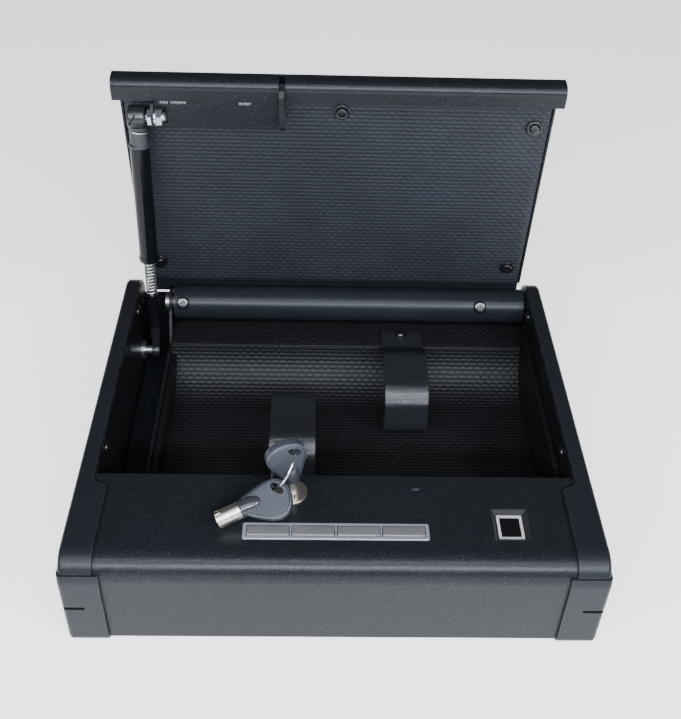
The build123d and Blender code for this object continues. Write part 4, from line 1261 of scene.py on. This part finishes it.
@dataclass
class Key:
    """Tubular key's moulded bow, drawn upright at the origin with its thickness along y.

    The outline runs round the eye. Each of the steps is an inset of a face and its depth.
    """

    thick: float = 5.2
    stem: float = 9.0
    rim: float = 1.0
    boss_r: float = 5.2
    boss_length: float = 19.0
    boss_sides: int = 32
    skirt: float = 3.4
    skirt_steps: Tuple[Flat, ...] = ((0.5, 0.4), (2.2, -0.6))
    hole_place: Flat = (1.6, 13.4)
    hole_size: Flat = (8.6, 4.6)
    hole_turn: float = 28.0
    eye: Flat = (-3.0, 8.0)
    steps: Tuple[Flat, ...] = (
        (0.5, 0.0), (0.2, -0.5), (0.7, 0.0), (0.15, -0.2), (0.2, 0.0), (0.15, 0.2))
    outline: Tuple[Flat, ...] = (
        (-2.4, -8.6), (-5.0, -6.6), (-7.8, -3.2), (-10.8, 1.2), (-13.3, 5.6), (-14.2, 10.2),
        (-12.8, 14.4), (-9.2, 17.6), (-4.4, 19.3), (0.6, 19.3), (4.8, 17.6), (7.4, 14.2),
        (8.1, 10.0), (7.7, 5.4), (6.8, 0.8), (5.9, -3.4), (4.9, -6.8), (2.4, -8.6))

    def smooth_outline(self, steps: int = 4) -> List[Flat]:
        """Points of a closed Catmull-Rom curve through the outline.

        Args:
            steps: points for each point of the outline.

        Returns:
            The points.
        """
        points, result = list(self.outline), []
        n = len(points)
        for i in range(n):
            a, b, c, d = (points[(i + k - 1) % n] for k in range(4))
            for s in range(steps):
                t = s / steps
                result.append(tuple(
                    0.5 * (2 * b[k] + (c[k] - a[k]) * t + (2 * a[k] - 5 * b[k] + 4 * c[k] - d[k]) * t * t
                           + (3 * b[k] - a[k] - 3 * c[k] + d[k]) * t ** 3) for k in (0, 1)))
        return result

    def slab(self, name: str) -> Workpiece:
        """Model the flat head: rounded rim, sunk faces with a raised border line.

        Args:
            name: the piece's name.

        Returns:
            The head, without its hole.
        """
        points = self.smooth_outline()
        half = self.thick / 2
        head = Workpiece(name, Start.DISC, (0, HALF_DEPTH - half, 0), (2, 2, 2), (90, 0, 0),
                         sides=len(points))
        order = sorted(head.obj.data.vertices, key=lambda v: -math.atan2(v.co.z, v.co.x))
        turns = [abs(math.atan2(z - self.eye[1], x - self.eye[0]) - math.pi) for x, z in points]
        start = turns.index(min(turns))
        for vertex, (x, z) in zip(order, points[start:] + points[:start]):
            vertex.co = to_metres(x, HALF_DEPTH - half, z)
        head.all_faces()
        head.extrude(0, self.thick, 0)
        head.pick(edges=lambda mid, way: abs(abs(mid.y - HALF_DEPTH) - half) < 0.01)
        head.bevel(self.rim, 4)
        for side in (-1, 1):
            head.pick(faces=lambda c, n: n.y * side > 0.9)
            for width, depth in self.steps:
                head.inset(width, depth, even=False)
        return head.done()

    def hole(self) -> Workpiece:
        """Cutter for the almond-shaped ring hole."""
        x, z = self.hole_place
        return Workpiece("hole", Start.BAR, (x, HALF_DEPTH, z), (*self.hole_size, 20.0),
                         (90, self.hole_turn, 0), sides=28).done()

    def boss(self, name: str) -> Workpiece:
        """Model the bullet-shaped boss where the barrel enters the bow.

        Args:
            name: the piece's name.

        Returns:
            The boss.
        """
        ball = Workpiece(name, Start.BALL, (0, HALF_DEPTH, 4 - self.stem),
                         (2 * self.boss_r, 2 * self.boss_r, self.boss_length), sides=self.boss_sides, rows=24)
        ball.bisect((0, HALF_DEPTH, 3.9 - self.stem), (0, 0, -1))
        ball.pick(faces=lambda c, n: n.z < -0.95)
        ball.extrude(0, 0, -self.skirt)
        for width, depth in self.skirt_steps:
            ball.inset(width, depth)
        return ball.done()

    def build(self, prefix: str, place: Matrix, body: str, node: str) -> None:
        """Model one bow at its place.

        Args:
            prefix: start of the pieces' names.
            place: from the upright drawing to the key's place.
            body: the body that it rides.
            node: the CAD node it stands for.
        """
        head = self.slab(f"{prefix}_head").cut(self.hole()).smooth(38)
        head.carry(place).fit(BOW, body, "key_plastic", node)
        self.boss(f"{prefix}_boss").smooth(40).carry(place).fit(BOSS, body, "key_plastic")


@dataclass
class KeyPair:
    """Key standing in the lock and the spare that leans on the deck."""

    lock: Flat = (-25.0, 54.5)
    origin_z: float = 84.2
    turn: float = 18.0
    spare_tip: Point = (-63.6, 30.0, 68.1)
    spare_turns: Point = (18.0, 18.0, 25.0)
    spare_reach: float = 22.5

    def upright(self) -> Matrix:
        """Place of the key in the lock."""
        return (Matrix.Translation(to_metres(*self.lock, self.origin_z))
                @ Matrix.Rotation(math.radians(self.turn), 4, "Z"))

    def spare(self) -> Matrix:
        """Place of the spare key."""
        turn, rise, roll = (math.radians(a) for a in self.spare_turns)
        lie = Matrix.Rotation(turn, 4, "Z") @ Matrix.Rotation(-rise, 4, "Y") @ Matrix.Rotation(roll, 4, "X")
        stand = Matrix.Rotation(math.radians(90), 4, "Y") @ Matrix.Rotation(math.radians(90), 4, "Z")
        return (Matrix.Translation(to_metres(*self.spare_tip)) @ lie @ stand
                @ Matrix.Translation((0, 0, self.spare_reach * MM)))

    def build(self) -> None:
        """Model both bows."""
        key = Key()
        key.build("lock_key", self.upright(), "lock_core", "key_bow")
        key.build("spare_key", self.spare(), "spare_key", "spare_key_bow")


@dataclass
class Screws:
    """Every visible cross-head screw, with the cup washers of the lid."""

    lid: LidFrame
    lid_screw: Flat = (3.2, 1.6)
    cup_size: Flat = (10.4, 1.0)
    cup_steps: Tuple[Flat, ...] = ((1.7, 0.0), (0.5, -0.35))
    barrel_xs: Flat = (-105.0, 102.5)
    barrel_r: float = 12.1
    barrel_tilt: float = -38.0
    barrel_screw: Flat = (4.4, 2.2)
    wall_x: float = 135.0
    wall_ys: Flat = (95.0, 225.0)
    wall_z: float = 56.5
    wall_screw: Flat = (4.2, 2.0)
    sink: float = 0.6

    def spread(self, name: str, blank: Workpiece, places: Sequence[Matrix], body: str, node: str) -> None:
        """Make one piece of a blank's copies.

        Args:
            name: the piece's name.
            blank: what is copied and then thrown out.
            places: a move for each copy.
            body: the body that the piece rides.
            node: the CAD node that it stands for.
        """
        twins = [blank.copy(f"{name}_{i}").carry(place) for i, place in enumerate(places)]
        joined = twins[0].join(*twins[1:])
        joined.obj.name = name
        bpy.data.objects.remove(blank.obj)
        joined.fit(SCREW, body, "screw_black", node)

    def cup(self) -> Workpiece:
        """Model a cup washer that looks up +Z on the origin.

        Returns:
            The washer.
        """
        width, height = self.cup_size
        cup = Workpiece("cup", Start.BAR, (0, HALF_DEPTH, height / 2), (width, width, height), sides=40)
        cup.pick(faces=lambda c, n: n.z > 0.9)
        for step, depth in self.cup_steps:
            cup.inset(step, depth)
        cup.pick(edges=lambda mid, way: mid.z > 0.95 and math.hypot(mid.x, mid.y - HALF_DEPTH) > 5.0)
        cup.bevel(0.6, 4)
        return cup.done().smooth(40)

    def build(self) -> None:
        """Model the screws and washers."""
        opened, down = self.lid.opened(), Vector((0, 0, -1))
        seats, tops = ([opened @ aim(to_metres(x, y, self.lid.liner_z - drop), down)
                        for x, y in self.lid.screws] for drop in (0.0, self.sink))
        facing = Matrix.Rotation(math.radians(self.barrel_tilt), 3, "X") @ down
        axis = [to_metres(x, self.lid.hinge_y, self.lid.hinge_z) for x in self.barrel_xs]
        barrel = [opened @ aim(spot + facing * (self.barrel_r - self.sink) * MM, facing) for spot in axis]
        walls = [aim(to_metres(side * self.wall_x, y, self.wall_z), Vector((-side, 0, 0)))
                 for side in (-1, 1) for y in self.wall_ys]
        self.spread("lid_cup_washers", self.cup(), seats, "lid", "lid_washers")
        for name, size, places, body, node in (
                ("lid_pan_screws", self.lid_screw, tops, "lid", "lid_screws"),
                ("barrel_pan_screws", self.barrel_screw, barrel, "lid", "barrel_screws"),
                ("wall_pan_screws", self.wall_screw, walls, "housing", "cover_screws")):
            self.spread(name, CrossHeadScrew(*size).blank("pan"), places, body, node)


@dataclass
class WeldBeads:
    """Short rippled welds that hold the striker bracket under the lip."""

    lid: LidFrame
    spots: Tuple[Flat, ...] = ((-104.0, 5.0), (-95.5, 9.0), (-56.0, 7.0))
    edge_y: float = 84.3
    seat_z: float = 50.0
    scale: Point = (2.3, 3.2, 1.7)
    pitch: float = 1.5
    lean: float = 18.0

    def bead(self, name: str, x: float, length: float) -> Workpiece:
        """Model one weld of overlapping scales along x.

        Args:
            name: the piece's name.
            x: its middle.
            length: its length.

        Returns:
            The weld.
        """
        count = max(3, round(length / self.pitch))
        scales = []
        for i in range(count):
            at = x + (i - (count - 1) / 2) * length / count
            lump = Workpiece(f"{name}_{i}", Start.BALL, (at, self.edge_y, self.seat_z), self.scale,
                             (0, self.lean, 0), sides=16, rows=10)
            lump.pick(faces=lambda c, n: n.x > 0.55)
            lump.resize(0.9, 0.75, 0.75, (at, self.edge_y, self.seat_z))
            scales.append(lump.done())
        bead = scales[0].join(*scales[1:])
        bead.obj.name = name
        return bead

    def build(self) -> None:
        """Model the welds."""
        for index, (x, length) in enumerate(self.spots):
            bead = self.bead(f"weld_{index + 1}", x, length).smooth(50)
            bead.carry(self.lid.opened()).fit(WELD, "lid", "powder_black")


@dataclass
class StrutHead:
    """Upper ball socket of the strut with its slit, neck, collar and wire clip."""

    ball: Point = (-120.5, 228.09, 201.25)
    foot: Point = (-125.0, 226.0, 22.0)
    cup_r: float = 7.1
    cup_length: float = 11.0
    cup_rounding: float = 1.7
    bore_r: float = 4.65
    bore_shift: float = 5.0
    slit_size: Point = (1.0, 4.0, 7.4)
    slit_shift: Flat = (-2.2, 1.2)
    slit_turn: float = 32.0
    neck_r: float = 5.6
    neck_length: float = 11.6
    neck_drop: float = 11.0
    collar: Flat = (0.6, 1.6)
    collar_flare: float = 1.17
    clip_size: Flat = (13.4, 0.42)
    clip_open: float = 3.2
    clip_drop: float = 7.6
    clip_tilt: float = 0.12

    def build_cup(self) -> None:
        """Model the socket with its bore and slit."""
        x, y, z = self.ball
        cup = Workpiece("socket_cup", Start.BAR, self.ball, (2 * self.cup_r, 2 * self.cup_r, self.cup_length),
                        (0, 90, 0), sides=40)
        cup.pick(edges=lambda mid, way: abs(mid.x - x) > self.cup_length / 2 - 0.01)
        cup.bevel(self.cup_rounding, 4)
        cup.done()
        bore = Workpiece("bore", Start.BAR, (x + self.bore_shift, y, z),
                         (2 * self.bore_r, 2 * self.bore_r, 20.0), (0, 90, 0), sides=40)
        cup.cut(bore.done())
        slit_x, slit_z = x + self.slit_shift[0], z + self.slit_shift[1]
        slit = Workpiece("slit", Start.BLOCK, (slit_x, y - self.cup_r, slit_z), self.slit_size,
                         (0, self.slit_turn, 0))
        slit.pick(edges=lambda mid, way: mid.y > y - self.cup_r)
        slit.bevel(0.3, 2)
        cup.cut(slit.done()).smooth(38)
        cup.fit(SOCKET, "strut_cylinder", "black_plastic", "strut_socket_upper")

    def build(self) -> None:
        """Model the socket, its neck and its clip."""
        self.build_cup()
        top, low = to_metres(*self.ball), to_metres(*self.foot)
        axis = (top - low).normalized()
        neck = Workpiece("socket_neck", Start.BAR, (0, HALF_DEPTH, 0),
                         (2 * self.neck_r, 2 * self.neck_r, self.neck_length), sides=40)
        neck.pick(faces=lambda c, n: n.z < -0.9)
        neck.extrude(0, 0, -self.collar[0])
        neck.resize(self.collar_flare, self.collar_flare, 1.0, (0, HALF_DEPTH, 0))
        neck.extrude(0, 0, -self.collar[1])
        neck.pick(edges=lambda mid, way: mid.z < -5.0 and abs(way.z) < 0.5)
        neck.bevel(0.25, 2)
        neck.done().smooth(38).carry(aim(top - axis * self.neck_drop * MM, axis))
        neck.fit(NECK, "strut_cylinder", "black_plastic")
        clip = Workpiece("socket_clip", Start.RING, (0, HALF_DEPTH, 0), self.clip_size, sides=48, rows=10)
        clip.bisect((0, HALF_DEPTH + self.clip_open, 0), (0, 1, 0))
        tilt = axis.lerp(Vector((1, 0, 0)), self.clip_tilt).normalized()
        clip.done().smooth(60).carry(aim(top - axis * self.clip_drop * MM, tilt))
        clip.fit(STEEL, "strut_cylinder", "steel")


# ------------------------------------------------------------------------------ studio
@dataclass
class Studio:
    """Floor, lights and camera."""

    camera_place: Point = (-0.01269, -0.45534, 0.48347)
    camera_turn: Point = (49.56089, -1.50908, -0.63367)
    lens: float = 50.366
    glow: float = 1.25
    sky: float = 0.05

    def floor(self) -> None:
        """Lay a plain pale floor."""
        bpy.ops.mesh.primitive_plane_add(size=12.0, location=(0, 0, 0))
        ground = bpy.context.object
        ground.name = "studio_floor"
        bench = NodeBench("studio floor")
        bench.finish((0.86, 0.86, 0.87), 0.9, Emission_Color=(1.0, 1.0, 1.0), Emission_Strength=self.glow)
        ground.data.materials.append(bench.material)

    def light(self, name: str, place: Point, target: Point, size: Flat, power: float,
              tint: Colour) -> None:
        """Hang one soft light, aimed at a point.

        Args:
            name: its name.
            place: where it hangs, in metres.
            target: what it is aimed at.
            size: its width and height.
            power: watts.
            tint: its colour.
        """
        data = bpy.data.lights.new(name, "AREA")
        data.shape, data.size, data.size_y = "RECTANGLE", *size
        data.energy, data.color = power, tint
        lamp = bpy.data.objects.new(name, data)
        bpy.context.collection.objects.link(lamp)
        lamp.location = place
        lamp.rotation_euler = (Vector(target) - Vector(place)).to_track_quat("-Z", "Y").to_euler()

    def build(self) -> None:
        """Set up floor, sky, lights and camera."""
        self.floor()
        world = bpy.data.worlds.new("studio")
        bpy.context.scene.world = world
        world.use_nodes = True
        sky = world.node_tree.nodes["Background"].inputs
        sky["Color"].default_value = (0.9, 0.94, 1.0, 1.0)
        sky["Strength"].default_value = self.sky
        middle, bend = (0.0, 0.05, 0.06), (0.0, -0.05, 0.05)
        for lamp in (
                ("right box", (0.75, -0.70, 0.75), middle, (0.30, 0.30), 10.0, (0.95, 0.97, 1.0)),
                ("left box", (-0.70, -0.60, 0.75), middle, (0.30, 0.30), 6.0, (0.97, 0.98, 1.0)),
                ("front strip", (0.0, -1.00, 0.74), bend, (1.2, 0.11), 26.0, (0.80, 0.88, 1.0)),
                ("high strip", (0.0, -0.62, 1.05), middle, (0.9, 0.10), 7.0, (0.86, 0.92, 1.0))):
            self.light(*lamp)
        data = bpy.data.cameras.new("view")
        data.lens, data.sensor_width = self.lens, 36.0
        camera = bpy.data.objects.new("view", data)
        bpy.context.collection.objects.link(camera)
        camera.location = self.camera_place
        camera.rotation_euler = [math.radians(a) for a in self.camera_turn]
        bpy.context.scene.camera = camera


STRAPS = (
    Strap("strap_band_right", "strap_right", 48.0,
          ((233.0, 36.8), (213.0, 36.8), (195.0, 46.5), (160.0, 43.0), (153.0, 7.5), (176.0, 7.5)),
          (10.0, 14.0, 17.0, 11.0)),
    Strap("strap_band_left", "strap_left", -26.0,
          ((176.0, 7.4), (163.0, 42.0), (116.0, 42.0), (101.0, 7.4)), (15.0, 15.0)),
)


def main() -> None:
    """Dress the CAD nodes, build every sub-assembly and report each piece."""
    logging.basicConfig(level=logging.INFO, format="%(name)s: %(message)s")
    for finish, names in NODE_FINISHES.items():
        for name in names:
            dress(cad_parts[name], finish)
            LOG.info("%s keeps its CAD shape in %s", name, finish.name)
    lid = LidFrame()
    BoxFoam().build()
    LidFoam(lid).build()
    for strap in STRAPS:
        LOG.info("%s is %.1f mm long", strap.name, strap.build())
    Rivet().build()
    KeypadBars().build()
    KeyPair().build()
    Screws(lid).build()
    WeldBeads(lid).build()
    StrutHead().build()
    Studio().build()


if __name__ == "__main__":
    main()
